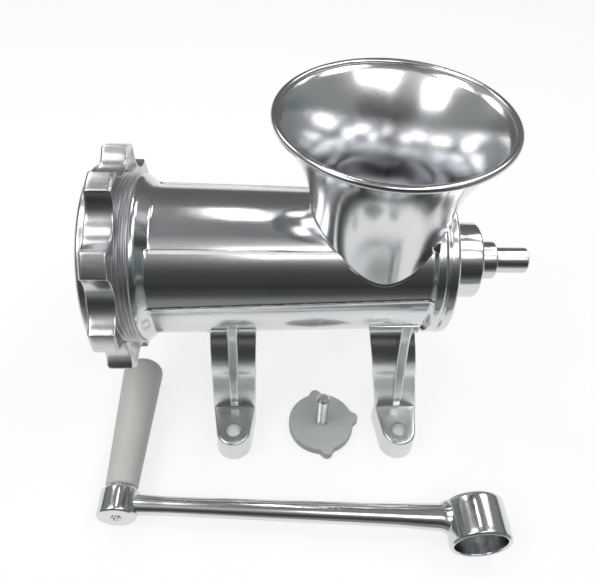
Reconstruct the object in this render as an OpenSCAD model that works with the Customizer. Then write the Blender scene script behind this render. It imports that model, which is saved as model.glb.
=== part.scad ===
// Hand-cranked meat grinder on four feet, with its crank and thumb screw lying in front of it.
// Frame: +X along the barrel towards the crank end, +Y away from the viewer, +Z up, table at z = 0.
// The origin is the middle of the four bolt holes, on the table.

/* [Stance] */
// Height of the barrel axis above the table
axis_h = 96; // [92:1:110]
// Bolt hole spacing along the barrel
hole_dx = 100.8; // [94:0.2:108]
// Bolt hole spacing across the barrel
hole_dy = 133.8; // [130:0.2:142]
// Radius of the bolt holes in the feet
hole_r = 4.2; // [3:0.1:5]
// Distance from the middle of the feet to the barrel's mouth
mouth_to_feet = 115; // [112:1:120]

/* [Barrel] */
// Length of the barrel from its mouth to its rear face
barrel_len = 187; // [184:1:192]
// Outer radius of the barrel behind the collar
barrel_r_front = 43.8; // [43:0.1:45]
// Outer radius of the barrel at the rear end of its taper
barrel_r_rear = 40.6; // [39.6:0.1:41.4]
// Radius of the feed bore
bore_r = 35.5; // [33:0.1:36]
// Radius of the rear flange
flange_r = 43; // [42:0.1:45]
// Width of the rear flange rim
flange_w = 11; // [9:0.5:13]
// Thickness of the rear wall
rear_wall = 8; // [6:0.5:10]
// Radius of the rear boss
boss_r = 22.2; // [20:0.1:24]
// Length of the rear boss
boss_len = 19.8; // [17:0.1:23]
// Depth of the recess along the top of the barrel
recess_h = 1.4; // [1:0.1:2]
// Half the angle of the recess, from the top of the barrel
recess_deg = 42; // [40:1:48]

/* [Mouth thread] */
// Outer radius of the mouth thread
thread_r = 49; // [48.6:0.1:51]
// Length of the thread along the barrel
thread_len = 15.2; // [14:0.1:17]
// Pitch of the thread
thread_pitch = 2.5; // [2:0.1:3]
// Depth of the thread
thread_depth = 1.1; // [0.6:0.1:1.4]
// Radius of the collar behind the thread
collar_r = 48.4; // [46:0.1:48.6]
// Length of the collar from the thread to the barrel's skin
collar_len = 6.9; // [6:0.1:8]

/* [Hopper] */
// Distance from the middle of the feet to the hopper's axis
hopper_x = 31.6; // [29:0.2:33]
// Height of the hopper's rim above the table
rim_z = 191.5; // [185:0.5:200]
// Outer radius of the rim
rim_r = 60.3; // [56:0.1:64]
// Outer radius of the neck
neck_r = 37.6; // [36:0.1:38.4]
// Wall thickness of the hopper
hopper_wall = 4.4; // [3.6:0.1:5]
// Radius of the rolled lip
lip_r = 2.3; // [2.2:0.1:3]
// Height above the axis where the neck starts to flare
flare_start = 18; // [12:1:24]
// Power of the flare curve
flare_power = 1.9; // [1.6:0.1:2.4]

/* [Legs] */
// Height of the foot pads
pad_h = 16.6; // [14:0.2:19]
// Thickness of the pad's top plate
pad_top = 5; // [4:0.1:6]
// Wall thickness of the hollow pad
pad_wall = 3.8; // [3:0.1:5]
// Width of a leg along the barrel
leg_w = 25.6; // [23:0.2:28]
// Radius of the pad's round end
pad_end_r = 10.2; // [9:0.1:11.5]
// Distance from the barrel's middle plane to the bend between leg and pad
bend_out = 50.5; // [48:0.1:53]
// Thickness of the leg plate
leg_t = 6; // [5:0.1:8]
// Distance from the barrel's middle plane to the shelf under the barrel
shelf_out = 39; // [38.4:0.1:40.5]
// Height of the shelf's upper edge above the table
shelf_z = 78; // [75:0.5:80]
// Width of the leg's rib
rib_w = 6; // [4:0.1:8]
// Shift of the rear legs' upper ends towards the mouth
rear_lean = 8; // [0:0.5:10]

/* [Ring nut] */
// Outer radius over the lobes
nut_r = 64.5; // [62:0.1:68]
// Radius at the bottom of the scallops
nut_root_r = 54; // [53:0.1:56]
// Width of the nut along the barrel
nut_w = 15.6; // [14.5:0.1:18]
// Thickness of the nut's front lip
nut_lip = 4; // [3:0.1:5]
// Radius of the opening in the front lip
nut_open_r = 36; // [33:0.1:38]
// Number of lobes
nut_lobes = 9; // [6:1:10]
// Half the angle of one lobe's crown
crown_deg = 6; // [5:0.5:8]
// Turn of the first lobe from the top, towards the viewer
lobe_turn_deg = 11; // [0:1:45]

/* [Cutting set] */
// Radius of the grinding plate
plate_r = 41; // [40:0.1:41.6]
// Thickness of the grinding plate
plate_t = 8; // [7:0.1:9]
// How far the plate stands out of the mouth
plate_out = 1.7; // [1.2:0.1:2.4]
// Radius of the holes in the plate
plate_hole_r = 3; // [2:0.1:3.2]
// Number of rings of holes
plate_rings = 3; // [2:1:3]
// Spacing between rings of holes
ring_step = 7.6; // [7.4:0.1:7.8]
// Radius of the key that stops the plate from turning
key_r = 2.5; // [2:0.1:3]
// Radius of the knife over its blades
knife_r = 38.5; // [36:0.1:39]
// Thickness of the knife
knife_t = 8; // [7:0.1:8.4]
// Width of a knife blade
blade_w = 11; // [9:0.1:13]
// Radius of the knife's hub
knife_hub_r = 13.5; // [12.5:0.1:15]

/* [Auger and shafts] */
// Radius of the auger's core
core_r = 14.5; // [14:0.1:17]
// Lead of the auger's flight
flight_lead = 44; // [38:1:52]
// Thickness of the flight along the axis, at its tip
flight_t = 6; // [5:0.5:9]
// Width of the square drive across its flats
square_w = 12; // [10:0.1:13]
// Radius of the front journal that runs in the plate
nose_r = 5; // [4:0.1:5.5]
// Radius of the spigots that hold the shafts in the auger
spigot_r = 8; // [7:0.1:9]
// Length of the spigots in the auger
spigot_len = 26; // [22:1:30]
// Radius of the tail shaft's journal
journal_r = 11.6; // [11.5:0.1:12.2]
// Radius of the tail shaft's step behind the rear boss
step_r = 11.2; // [10.6:0.1:11.4]
// How far the step reaches out of the rear boss
step_out = 11.6; // [10:0.1:13]
// Radius of the tail shaft's end
tail_r = 7.6; // [7.4:0.1:8]
// Length of the tail shaft's end
tail_len = 20.3; // [19:0.1:22]
// Length of the flat at the tail shaft's tip
flat_len = 9.2; // [8:0.1:10]
// Distance from the shaft's axis to its flat
flat_out = 6.1; // [5.8:0.1:6.6]
// Radius of the pin that locks the tail shaft in the auger
lock_pin_r = 2.5; // [2:0.1:3]
// Wall thickness of the rear bushing
bush_wall = 3; // [2:0.1:4]
// Thickness of the thrust washer
washer_t = 2.4; // [2:0.1:3]
// Radius of the thrust washer
washer_r = 20; // [18:0.1:22]

/* [Crank] */
// Distance from the middle of the feet to the crank hub's axis
hub_x = 84.5; // [80:0.5:90]
// Radius of the crank hub
hub_r = 16.9; // [16.4:0.1:18]
// Length of the crank hub
hub_len = 24; // [22:0.5:26]
// Radius of the hub's socket
socket_r = 14.2; // [13.4:0.1:14.4]
// Distance from the barrel's middle plane to the hub's near face
hub_near = 137.6; // [134:0.1:142]
// Distance along the barrel between the hub and the grip
crank_reach = 196.3; // [185:0.1:205]
// Radius of the grip boss
grip_boss_r = 10.9; // [10:0.1:12]
// Length of the grip boss
grip_boss_len = 15.2; // [13:0.1:17]
// Distance from the barrel's middle plane to the grip boss's near face
grip_boss_near = 118.8; // [116:0.1:122]
// Radius of the arm at the hub
arm_r_hub = 6.6; // [6:0.1:7]
// Radius of the arm at the grip
arm_r_grip = 5.2; // [4.6:0.1:6]
// Distance from the barrel's middle plane to the arm's end in the hub
arm_near = 122; // [120:0.1:124]

/* [Grip] */
// Length of the grip
grip_len = 86; // [78:0.5:92]
// Radius of the grip at the crank
grip_r_base = 9; // [8.6:0.1:10]
// Largest radius of the grip, near its tip
grip_r_tip = 12.4; // [11:0.1:14]
// Radius of the grip's pin
pin_r = 4; // [3.5:0.1:4.5]
// Radius of the pin's tail in the crank
pin_tail_r = 3; // [2.6:0.1:3.4]
// Radius of the pin's snap head
snap_r = 5.2; // [4.8:0.1:5.6]
// Length of the pin inside the grip
pin_len = 62; // [50:1:66]
// Thickness of the washer between crank and grip
grip_washer_t = 1.6; // [1.2:0.1:2]

/* [Thumb screw] */
// Distance from the middle of the feet to the thumb screw's axis
thumb_x = 3.9; // [0:0.1:8]
// Distance from the barrel's middle plane to the thumb screw's axis
thumb_near = 54.6; // [52:0.1:60]
// Radius of the thumb screw's head
thumb_r = 20.3; // [18:0.1:22]
// Thickness of the head
thumb_t = 7.2; // [6.6:0.1:9]
// How far the lobes stand out of the head
thumb_lobe_out = 3.4; // [2.6:0.1:4]
// Number of lobes on the head
thumb_lobes = 3; // [2:1:4]
// Angle between neighbouring lobes
thumb_lobe_step = 90; // [80:1:90]
// Outer radius of the stud's thread
stud_r = 4; // [3.6:0.1:4.4]
// Height of the stud's tip above the head
stud_out = 25; // [20:0.5:27]
// Pitch of the stud's thread
stud_pitch = 1.25; // [1:0.05:1.5]

/* [Fits] */
// Gap between faces that move past each other
face_gap = 0.3; // [0.25:0.05:0.4]
// Radial gap of a running fit
run_gap = 0.05; // [0.03:0.01:0.08]
// Radial gap between the flight and the bore
flight_gap = 0.7; // [0.5:0.1:1]

/* [Hidden] */
$fn = 64;
eps = 0.01;
aluminium = [0.80, 0.81, 0.82];
steel = [0.62, 0.63, 0.65];
bronze = [0.72, 0.56, 0.32];
milky_plastic = [0.84, 0.84, 0.80];

// Stations along the barrel
mouth_x = -mouth_to_feet;
thread_end_x = mouth_x + thread_len;
rear_x = mouth_x + barrel_len;
boss_x = rear_x + boss_len;
bore_end_x = rear_x - rear_wall;
collar_round = 4;
collar_slope_deg = 40;
taper_start_x = thread_end_x + collar_len;
flange_rise = flange_r - barrel_r_rear;
flange_round = 2;
taper_end_x = rear_x - flange_w - flange_rise;
plate_front_x = mouth_x - plate_out;
plate_back_x = plate_front_x + plate_t;
knife_front_x = plate_back_x + face_gap;
auger_front_x = knife_front_x + knife_t;
chamber_end_x = auger_front_x + face_gap;
chamber_r = plate_r + face_gap;
nut_front_x = plate_front_x - face_gap - nut_lip;
journal_end_x = boss_x + 2 * face_gap;
step_end_x = boss_x + step_out;
tail_end_x = step_end_x + tail_len;
washer_x = bore_end_x - face_gap - washer_t;
bush_r = journal_r + run_gap + bush_wall;
throat_r = neck_r - hopper_wall;

// Points of an arc about c, from angle a to angle b in degrees
function arc(c, r, a, b, n = 8) =
    [for (i = [0 : n]) c + r * [cos(a + (b - a) * i / n), sin(a + (b - a) * i / n)]];

// Places its children on the barrel axis, with their Z along +X
module about_axis() {
    translate([0, 0, axis_h])
        rotate([0, 90, 0])
            children();
}

// A cylinder along +X on the barrel axis, from station x0 to x1
module axial(r, x0, x1) {
    about_axis()
        translate([0, 0, x0])
            cylinder(r = r, h = x1 - x0);
}

// Outline of the barrel's outside as [radius, station] points, mouth first
thread_turns = floor((thread_len - thread_pitch) / thread_pitch);
mouth_outside = concat(
    [[thread_r - thread_depth, mouth_x]],
    [for (i = [0 : thread_turns - 1], p = [[1, 0.2], [1, 0.6], [0, 0.75], [0, 1]])
        [thread_r - thread_depth * (1 - p[0]), mouth_x + (i + p[1] + 0.5) * thread_pitch]],
    [[thread_r - thread_depth, thread_end_x]],
    arc([collar_r - collar_round, thread_end_x], collar_round, 0, collar_slope_deg),
    [[barrel_r_front, taper_start_x]]);
taper_outside = [[barrel_r_front, taper_start_x], [barrel_r_rear, taper_end_x]];
rear_outside = concat(
    arc([flange_r, taper_end_x], flange_rise, 180, 90),
    arc([flange_r - flange_round, rear_x - flange_round], flange_round, 0, 90));

// Turns a line of [radius, station] points about the barrel axis, closed by the axis
module turned(line) {
    about_axis()
        rotate_extrude()
            polygon(concat([[0, line[0][1]]], line, [[0, line[len(line) - 1][1]]]));
}

// The barrel without its bore, to cut what stands on it
module barrel_solid() {
    turned(mouth_outside);
    tapered_part();
    turned(rear_outside);
}

module tapered_part() {
    difference() {
        turned(taper_outside);
        top_recess();
    }
}

// Everything hollow in the barrel: cutter chamber, feed bore, bushing seat and throat
module barrel_hollow() {
    axial(chamber_r, mouth_x - 1, chamber_end_x);
    axial(bore_r, chamber_end_x - 1, bore_end_x);
    axial(bush_r, bore_end_x - 1, rear_x + 1);
    translate([hopper_x, 0, axis_h])
        cylinder(r = throat_r, h = rim_z);
    key_pin(eps);
}

// Shallow recess along the top of the barrel, from the collar to the rear flange
module top_recess() {
    over = 2;
    about_axis()
        intersection() {
            rotate_extrude()
                polygon([[barrel_r_front - recess_h, taper_start_x + recess_h],
                    [barrel_r_front, taper_start_x], [barrel_r_front + over, taper_start_x],
                    [barrel_r_front + over, taper_end_x], [barrel_r_rear - recess_h, taper_end_x]]);
            translate([0, 0, taper_start_x - over])
                linear_extrude(barrel_len)
                    polygon(concat([[0, 0]],
                        arc([0, 0], 2 * barrel_r_front, 180 - recess_deg, 180 + recess_deg, 4)));
        }
}

module casting_mouth() {
    color(aluminium)
        difference() {
            turned(mouth_outside);
            barrel_hollow();
        }
}

module casting_barrel() {
    color(aluminium)
        difference() {
            tapered_part();
            barrel_hollow();
        }
}

module casting_rear() {
    color(aluminium)
        difference() {
            turned(rear_outside);
            barrel_hollow();
        }
}

module casting_boss() {
    boss_round = 1.5;
    color(aluminium)
        about_axis()
            rotate_extrude()
                polygon(concat([[bush_r, rear_x], [boss_r, rear_x]],
                    arc([boss_r - boss_round, boss_x - boss_round], boss_round, 0, 90, 4),
                    [[bush_r, boss_x]]));
}

// Outer radius of the hopper at height z, a neck that flares by a power curve
flare_z = axis_h + flare_start;
lip_z = rim_z - lip_r;
mouth_r = rim_r - lip_r + hopper_wall / 2;
function hopper_r(z) = neck_r
    + (mouth_r - neck_r) * pow(max(0, z - flare_z) / (lip_z - flare_z), flare_power);
neck_steps = 6;
funnel_steps = 14;
function hopper_z(i) = flare_z + (lip_z - flare_z) * i / funnel_steps;

// Wall of the hopper between two steps of its height, as [radius, height] points
function hopper_wall_line(from, to) = concat(
    [for (i = [from : to]) [hopper_r(hopper_z(i)), hopper_z(i)]],
    [for (i = [to : -1 : from]) [hopper_r(hopper_z(i)) - hopper_wall, hopper_z(i)]]);

module casting_neck() {
    color(aluminium)
        difference() {
            translate([hopper_x, 0, 0])
                rotate_extrude()
                    polygon(concat([[throat_r, axis_h], [neck_r, axis_h]], hopper_wall_line(0, neck_steps)));
            barrel_solid();
        }
}

module casting_hopper() {
    color(aluminium)
        translate([hopper_x, 0, 0])
            rotate_extrude() {
                polygon(hopper_wall_line(neck_steps, funnel_steps));
                translate([rim_r - lip_r, lip_z])
                    circle(r = lip_r);
            }
}

// Outline of one leg across the barrel, as [distance outwards, height] points
plate_top = [shelf_out - 6, shelf_z - 12];
leg_section = concat(
    [[bend_out - leg_t - 2, pad_h - pad_top], [bend_out, pad_h - pad_top], [bend_out, pad_h]],
    [plate_top + (([bend_out, pad_h] - plate_top) / 2) + [1.6, 1], plate_top],
    [[shelf_out, shelf_z - 7], [shelf_out, shelf_z], [shelf_out - 16, shelf_z],
        plate_top - [leg_t + 4, 0]]);
rib_section = [[bend_out - 3, pad_h - 1], [bend_out + 2, pad_h + 6], [shelf_out + 0.6, shelf_z - 2],
    [shelf_out - 8, shelf_z - 2], plate_top - [2, 0]];

// Draws a section across the barrel, on the near side, from station x0 to x1
module across(x0, x1) {
    translate([x0, 0, 0])
        rotate([90, 0, 90])
            linear_extrude(x1 - x0)
                mirror([1, 0])
                    children();
}

// Plan of a foot pad about its bolt hole, shrunk by inset on every side
module pad_plan(inset) {
    half_w = leg_w / 2 - inset;
    end_r = pad_end_r - inset;
    circle(r = end_r);
    polygon([[-end_r, 0], [end_r, 0], [half_w, hole_dy / 2 - bend_out],
        [half_w, hole_dy / 2 - bend_out + leg_t - inset],
        [-half_w, hole_dy / 2 - bend_out + leg_t - inset], [-half_w, hole_dy / 2 - bend_out]]);
}

// One leg on the near side, at hole station x, with its upper end shifted by lean
module leg(x, lean) {
    half_w = leg_w / 2;
    difference() {
        union() {
            intersection() {
                across(x - leg_w - lean, x + leg_w)
                    polygon(leg_section);
                translate([0, eps, 0])
                    rotate([90, 0, 0])
                        linear_extrude(hole_dy)
                            polygon([[x - half_w, 0], [x + half_w, 0], [x + half_w, pad_h],
                                [x + half_w - lean, shelf_z + 1], [x - half_w - lean, shelf_z + 1],
                                [x - half_w, pad_h]]);
            }
            across(x - rib_w / 2 - lean / 4, x + rib_w / 2 - lean / 4)
                polygon(rib_section);
            translate([x, -hole_dy / 2, 0])
                linear_extrude(pad_h)
                    pad_plan(0);
        }
        barrel_solid();
        translate([x, -hole_dy / 2, -1])
            linear_extrude(pad_h - pad_top + 1)
                difference() {
                    pad_plan(pad_wall);
                    circle(r = hole_r + pad_wall);
                }
        translate([x, -hole_dy / 2, -1])
            cylinder(r = hole_r, h = pad_h + 2);
    }
}

module leg_front_near() {
    color(aluminium)
        leg(-hole_dx / 2, 0);
}

module leg_front_far() {
    color(aluminium)
        mirror([0, 1, 0])
            leg(-hole_dx / 2, 0);
}

module leg_rear_near() {
    color(aluminium)
        leg(hole_dx / 2, rear_lean);
}

module leg_rear_far() {
    color(aluminium)
        mirror([0, 1, 0])
            leg(hole_dx / 2, rear_lean);
}

module rear_bushing() {
    color(bronze)
        difference() {
            axial(bush_r, bore_end_x, boss_x);
            axial(journal_r + run_gap, bore_end_x - 1, boss_x + 1);
        }
}

// Radial pin under the mouth that stops the grinding plate from turning
key_in = 3;
key_len = 7;
module key_pin(grow) {
    translate([mouth_x + 3.2, 0, axis_h - chamber_r + key_in - key_len])
        cylinder(r = key_r, h = key_len + grow);
}

module plate_key() {
    color(steel)
        key_pin(0);
}

// Scallop circles between the lobes, through the root and the edges of two crowns
scallop_half = 180 / nut_lobes - crown_deg;
scallop_at = (nut_r * nut_r - nut_root_r * nut_root_r)
    / (2 * (nut_r * cos(scallop_half) - nut_root_r));
scallop_r = scallop_at - nut_root_r;
nut_round = 2;
nut_entry = 2.6;

module ring_nut() {
    color(aluminium)
        difference() {
            about_axis()
                rotate_extrude()
                    polygon(concat([[nut_open_r, nut_front_x]],
                        arc([nut_r - nut_round, nut_front_x + nut_round], nut_round, -90, 0, 4),
                        arc([nut_r - nut_round, nut_front_x + nut_w - nut_round], nut_round, 0, 90, 4),
                        [[thread_r + face_gap + nut_entry, nut_front_x + nut_w],
                            [thread_r + face_gap, nut_front_x + nut_w - nut_entry],
                            [thread_r + face_gap, nut_front_x + nut_lip],
                            [nut_open_r, nut_front_x + nut_lip]]));
            for (i = [0 : nut_lobes - 1])
                about_axis()
                    rotate([0, 0, 180 + lobe_turn_deg + (i + 0.5) * 360 / nut_lobes])
                        translate([scallop_at, 0, nut_front_x - 1])
                            cylinder(r = scallop_r, h = nut_w + 2);
        }
}

module grinding_plate() {
    inner_ring_r = nose_r + ring_step;
    color(steel)
        difference() {
            axial(plate_r, plate_front_x, plate_back_x);
            axial(nose_r + run_gap, plate_front_x - 1, plate_back_x + 1);
            for (ring = [0 : plate_rings - 1])
                let (r = inner_ring_r + ring * ring_step, count = floor(2 * PI * r / ring_step))
                    for (i = [0 : count - 1])
                        about_axis()
                            rotate([0, 0, i * 360 / count])
                                translate([r, 0, plate_front_x - 1])
                                    cylinder(r = plate_hole_r, h = plate_t + 2);
            translate([plate_front_x - 1, -key_r - face_gap, axis_h - chamber_r - 1])
                cube([plate_t + 2, 2 * (key_r + face_gap), key_in + 1 + face_gap]);
        }
}

module cross_knife() {
    bevel = 4;
    color(steel)
        difference() {
            union() {
                axial(knife_hub_r, knife_front_x, auger_front_x);
                for (turn = [0 : 90 : 270])
                    about_axis()
                        rotate([0, 0, turn])
                            rotate([90, 0, 90])
                                linear_extrude(knife_r)
                                    polygon([[-blade_w / 2, knife_front_x], [blade_w / 2, knife_front_x],
                                        [blade_w / 2, knife_front_x + bevel],
                                        [blade_w / 2 - bevel, auger_front_x - 2],
                                        [-blade_w / 2, auger_front_x - 2]]);
            }
            about_axis()
                translate([0, 0, (knife_front_x + auger_front_x) / 2])
                    cube([square_w + 2 * run_gap, square_w + 2 * run_gap, knife_t + 2], center = true);
        }
}

module auger_core() {
    color(aluminium)
        difference() {
            axial(core_r, auger_front_x, washer_x);
            axial(spigot_r, auger_front_x - 1, auger_front_x + spigot_len);
            axial(spigot_r, washer_x - spigot_len, washer_x + 1);
            lock_pin(core_r + 1);
        }
}

module auger_flight() {
    flight_r = bore_r - flight_gap;
    half_tip = 180 * flight_t / flight_lead;
    end_clear = 4;
    flight_len = washer_x - end_clear - auger_front_x;
    slice_h = 2;
    color(aluminium)
        difference() {
            about_axis()
                translate([0, 0, auger_front_x])
                    linear_extrude(flight_len, twist = 360 * flight_len / flight_lead,
                        slices = round(flight_len / slice_h), segments = 1)
                        polygon(concat(arc([0, 0], core_r - 2, -2 * half_tip, 2 * half_tip, 3),
                            arc([0, 0], flight_r, half_tip, -half_tip, 3)));
            axial(core_r, auger_front_x - 1, washer_x);
        }
}

module front_stud() {
    color(steel)
        union() {
            axial(spigot_r, auger_front_x, auger_front_x + spigot_len);
            about_axis()
                translate([-square_w / 2, -square_w / 2, knife_front_x])
                    cube([square_w, square_w, knife_t + eps]);
            axial(nose_r, plate_front_x, knife_front_x + eps);
        }
}

module tail_shaft() {
    tap_depth = 22;
    color(steel)
        difference() {
            union() {
                axial(spigot_r, washer_x - spigot_len, washer_x + eps);
                axial(journal_r, washer_x, journal_end_x);
                axial(step_r, journal_end_x - eps, step_end_x);
                axial(tail_r, step_end_x - eps, tail_end_x - 1);
                about_axis()
                    translate([0, 0, tail_end_x - 1])
                        cylinder(r1 = tail_r, r2 = tail_r - 1, h = 1);
            }
            axial(stud_r - stud_pitch / 2, tail_end_x - tap_depth, tail_end_x + 1);
            translate([tail_end_x - flat_len, -2 * tail_r, axis_h - flat_out - tail_r])
                cube([flat_len + 1, 4 * tail_r, tail_r]);
            lock_pin(spigot_r + 1);
        }
}

// Cross pin through the auger's core and the tail shaft's spigot
module lock_pin(half_len) {
    translate([washer_x - spigot_len / 2, 0, axis_h])
        rotate([90, 0, 0])
            cylinder(r = lock_pin_r, h = 2 * half_len, center = true);
}

module shaft_lock_pin() {
    color(steel)
        lock_pin(core_r - 0.5);
}

module thrust_washer() {
    color(bronze)
        difference() {
            axial(washer_r, washer_x, washer_x + washer_t);
            axial(journal_r, washer_x - 1, washer_x + washer_t + 1);
        }
}

// The crank lies on its hub and on the grip's tip
hub_web = flat_len + 0.2;
hub_far_y = hub_len - hub_near;
grip_x = hub_x - crank_reach;
grip_z = grip_r_tip + 0.2;
grip_face_y = -grip_boss_near + grip_boss_len;
grip_start_y = grip_face_y + grip_washer_t + face_gap;

// A cylinder along +Y from y0 to y1 about the axis through (x, z)
module lying(r, x, z, y0, y1) {
    translate([x, y0, z])
        rotate([-90, 0, 0])
            cylinder(r = r, h = y1 - y0);
}

module hub_blank() {
    lying(hub_r, hub_x, hub_r, -hub_near, hub_far_y);
}

module boss_blank() {
    lying(grip_boss_r, grip_x, grip_z, -grip_boss_near, grip_face_y);
}

module crank_hub() {
    color(aluminium)
        difference() {
            hub_blank();
            lying(socket_r, hub_x, hub_r, -hub_near - 1, hub_far_y - hub_web);
            difference() {
                lying(tail_r + 2 * run_gap, hub_x, hub_r, hub_far_y - hub_web - 1, hub_far_y + 1);
                translate([hub_x - 2 * tail_r, hub_far_y - hub_web - 2, hub_r + flat_out + 2 * run_gap])
                    cube([4 * tail_r, hub_web + 4, tail_r]);
            }
        }
}

module crank_bar() {
    from = [grip_x, grip_face_y - grip_boss_len / 2, grip_z];
    run = [hub_x, -arm_near, hub_r] - from;
    color(aluminium)
        difference() {
            translate(from)
                rotate([0, acos(run[2] / norm(run)), atan2(run[1], run[0])])
                    cylinder(r1 = arm_r_grip, r2 = arm_r_hub, h = norm(run));
            hub_blank();
            boss_blank();
        }
}

module crank_boss() {
    color(aluminium)
        difference() {
            boss_blank();
            lying(pin_tail_r, grip_x, grip_z, -grip_boss_near - 1, grip_face_y + 1);
        }
}

snap_len = 4;
pin_end_y = grip_face_y + grip_washer_t + pin_len;

module grip_pin() {
    color(steel)
        union() {
            lying(pin_tail_r, grip_x, grip_z, -grip_boss_near - 0.6, grip_face_y + eps);
            lying(pin_r, grip_x, grip_z, grip_face_y, pin_end_y - snap_len + eps);
            lying(snap_r, grip_x, grip_z, pin_end_y - snap_len, pin_end_y);
        }
}

module grip_washer() {
    color(steel)
        difference() {
            lying(grip_r_base - 1, grip_x, grip_z, grip_face_y, grip_face_y + grip_washer_t);
            lying(pin_r, grip_x, grip_z, grip_face_y - 1, grip_face_y + grip_washer_t + 1);
        }
}

module grip() {
    dome_r = 7;
    edge_r = 1.5;
    dome_from = grip_len - dome_r;
    color(milky_plastic)
        difference() {
            translate([grip_x, grip_start_y, grip_z])
                rotate([-90, 0, 0])
                    rotate_extrude()
                        polygon(concat([[0, 0]],
                            arc([grip_r_base - edge_r, edge_r], edge_r, -90, 0, 4),
                            arc([grip_r_tip - dome_r, dome_from], dome_r, 0, 90, 8), [[0, grip_len]]));
            lying(pin_r + run_gap, grip_x, grip_z, grip_start_y - 1, pin_end_y);
            lying(snap_r + face_gap, grip_x, grip_z, pin_end_y - snap_len - face_gap,
                pin_end_y + face_gap);
        }
}

insert_r = 6;
insert_h = 3;
insert_z = 2;

// Plan of one lobe, a rounded tip with flanks that run into the head
module thumb_lobe_plan() {
    tip_r = 1.8;
    tip_at = thumb_lobe_out - tip_r;
    translate([tip_at, 0])
        circle(r = tip_r);
    polygon([[-2, -6], [tip_at, -tip_r], [tip_at, tip_r], [-2, 6]]);
}

module thumb_screw_head() {
    color(milky_plastic)
        difference() {
            translate([thumb_x, -thumb_near, 0])
                union() {
                    rotate_extrude()
                        polygon(concat([[0, 0]], arc([thumb_r - 1.5, 1.5], 1.5, -90, 0, 4),
                            arc([thumb_r - 1, thumb_t - 1], 1, 0, 90, 4), [[0, thumb_t]]));
                    for (i = [0 : thumb_lobes - 1])
                        rotate([0, 0, 98 - i * thumb_lobe_step])
                            translate([thumb_r, 0, 0.6])
                                linear_extrude(thumb_t - 1.2)
                                    thumb_lobe_plan();
                }
            stud_body();
        }
}

// Outline of the stud as [radius, height] points, with its thread cut as rings
stud_tip_z = thumb_t + stud_out;
stud_turns = floor((stud_out - 4) / stud_pitch);
stud_outline = concat([[0, insert_z], [insert_r, insert_z], [insert_r, insert_z + insert_h],
        [stud_r, insert_z + insert_h], [stud_r, thumb_t + 2]],
    [for (i = [0 : stud_turns - 1], p = [[1, 0.2], [0, 0.5], [0, 0.7], [1, 1]])
        [stud_r - (1 - p[0]) * stud_pitch / 2, thumb_t + 2 + (i + p[1]) * stud_pitch]],
    [[stud_r, stud_tip_z - 1], [stud_r - 1, stud_tip_z], [0, stud_tip_z]]);

module stud_body() {
    translate([thumb_x, -thumb_near, 0])
        rotate_extrude()
            polygon(stud_outline);
}

module thumb_screw_stud() {
    color(steel)
        stud_body();
}

casting_mouth();
casting_barrel();
casting_rear();
casting_boss();
casting_neck();
casting_hopper();
leg_front_near();
leg_front_far();
leg_rear_near();
leg_rear_far();
rear_bushing();
plate_key();
ring_nut();
grinding_plate();
cross_knife();
auger_core();
auger_flight();
front_stud();
tail_shaft();
shaft_lock_pin();
thrust_washer();
crank_hub();
crank_bar();
crank_boss();
grip_pin();
grip_washer();
grip();
thumb_screw_head();
thumb_screw_stud();
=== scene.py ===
"""Looks of a hand-cranked meat grinder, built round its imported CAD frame.

Every new piece is a surface worked out with numpy as a function of two parameters. Sizes are in
millimetres in the fields of each class, and the mesh builder turns them into metres. Only the
studio's fields are in metres. The frame is that of the CAD: +X along the barrel towards the crank
end, +Y away from the viewer, +Z up.
"""

import logging
import math
from dataclasses import dataclass, field
from enum import Enum
from typing import Callable, Optional, Sequence

import bmesh
import bpy
import numpy as np
from mathutils import Matrix, Vector


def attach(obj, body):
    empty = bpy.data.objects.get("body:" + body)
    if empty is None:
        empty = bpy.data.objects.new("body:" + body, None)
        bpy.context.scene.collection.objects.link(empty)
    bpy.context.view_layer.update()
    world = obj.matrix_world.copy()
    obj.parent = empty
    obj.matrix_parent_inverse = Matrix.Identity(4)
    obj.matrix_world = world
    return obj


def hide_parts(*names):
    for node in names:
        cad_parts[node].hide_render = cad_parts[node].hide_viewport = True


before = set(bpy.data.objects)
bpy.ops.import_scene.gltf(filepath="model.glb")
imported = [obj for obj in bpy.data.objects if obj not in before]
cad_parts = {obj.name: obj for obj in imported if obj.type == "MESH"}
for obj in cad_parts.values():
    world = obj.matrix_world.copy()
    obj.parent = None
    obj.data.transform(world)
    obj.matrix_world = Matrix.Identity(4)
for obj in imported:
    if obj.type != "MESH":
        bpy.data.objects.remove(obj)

log = logging.getLogger("meat_grinder")

Array = np.ndarray
Pair = tuple[float, float]
Triple = tuple[float, float, float]
Corner = Pair | Triple
Socket = bpy.types.NodeSocket
Object = bpy.types.Object

MM = 0.001
TURN = 2.0 * math.pi
NOISE_LOW, NOISE_HIGH = 0.3, 0.7
NOISE_ROUGHNESS = 0.55
MERGE_DISTANCE = 2e-7
SLIVER_LENGTH = 1e-8
SAME_POINT = 1e-6
LEAST_COSINE = 0.2
FLAT_EDGE = (0.6, 0.3)
FINE, SMOOTH = 4.0, 1.0


class Slot(Enum):
    """Material slots of the record."""

    ALUMINIUM = "cast_aluminium"
    STEEL = "steel"
    PLASTIC = "milky_plastic"


class Body(Enum):
    """Bodies of the frame that pieces ride on."""

    HOUSING = "housing"
    AUGER = "auger"
    NUT = "nut"
    GRIP = "grip"


def mix(first: Array, last: Array, share: Array) -> Array:
    """Straight run from a first value to a last one."""
    return first + (last - first) * share


def ease(value: Array, low: float, high: float) -> Array:
    """Smooth step: 0 below low, 1 above high, with level ends."""
    t = np.clip((np.asarray(value, float) - low) / (high - low), 0.0, 1.0)
    return t * t * (3.0 - 2.0 * t)


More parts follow.
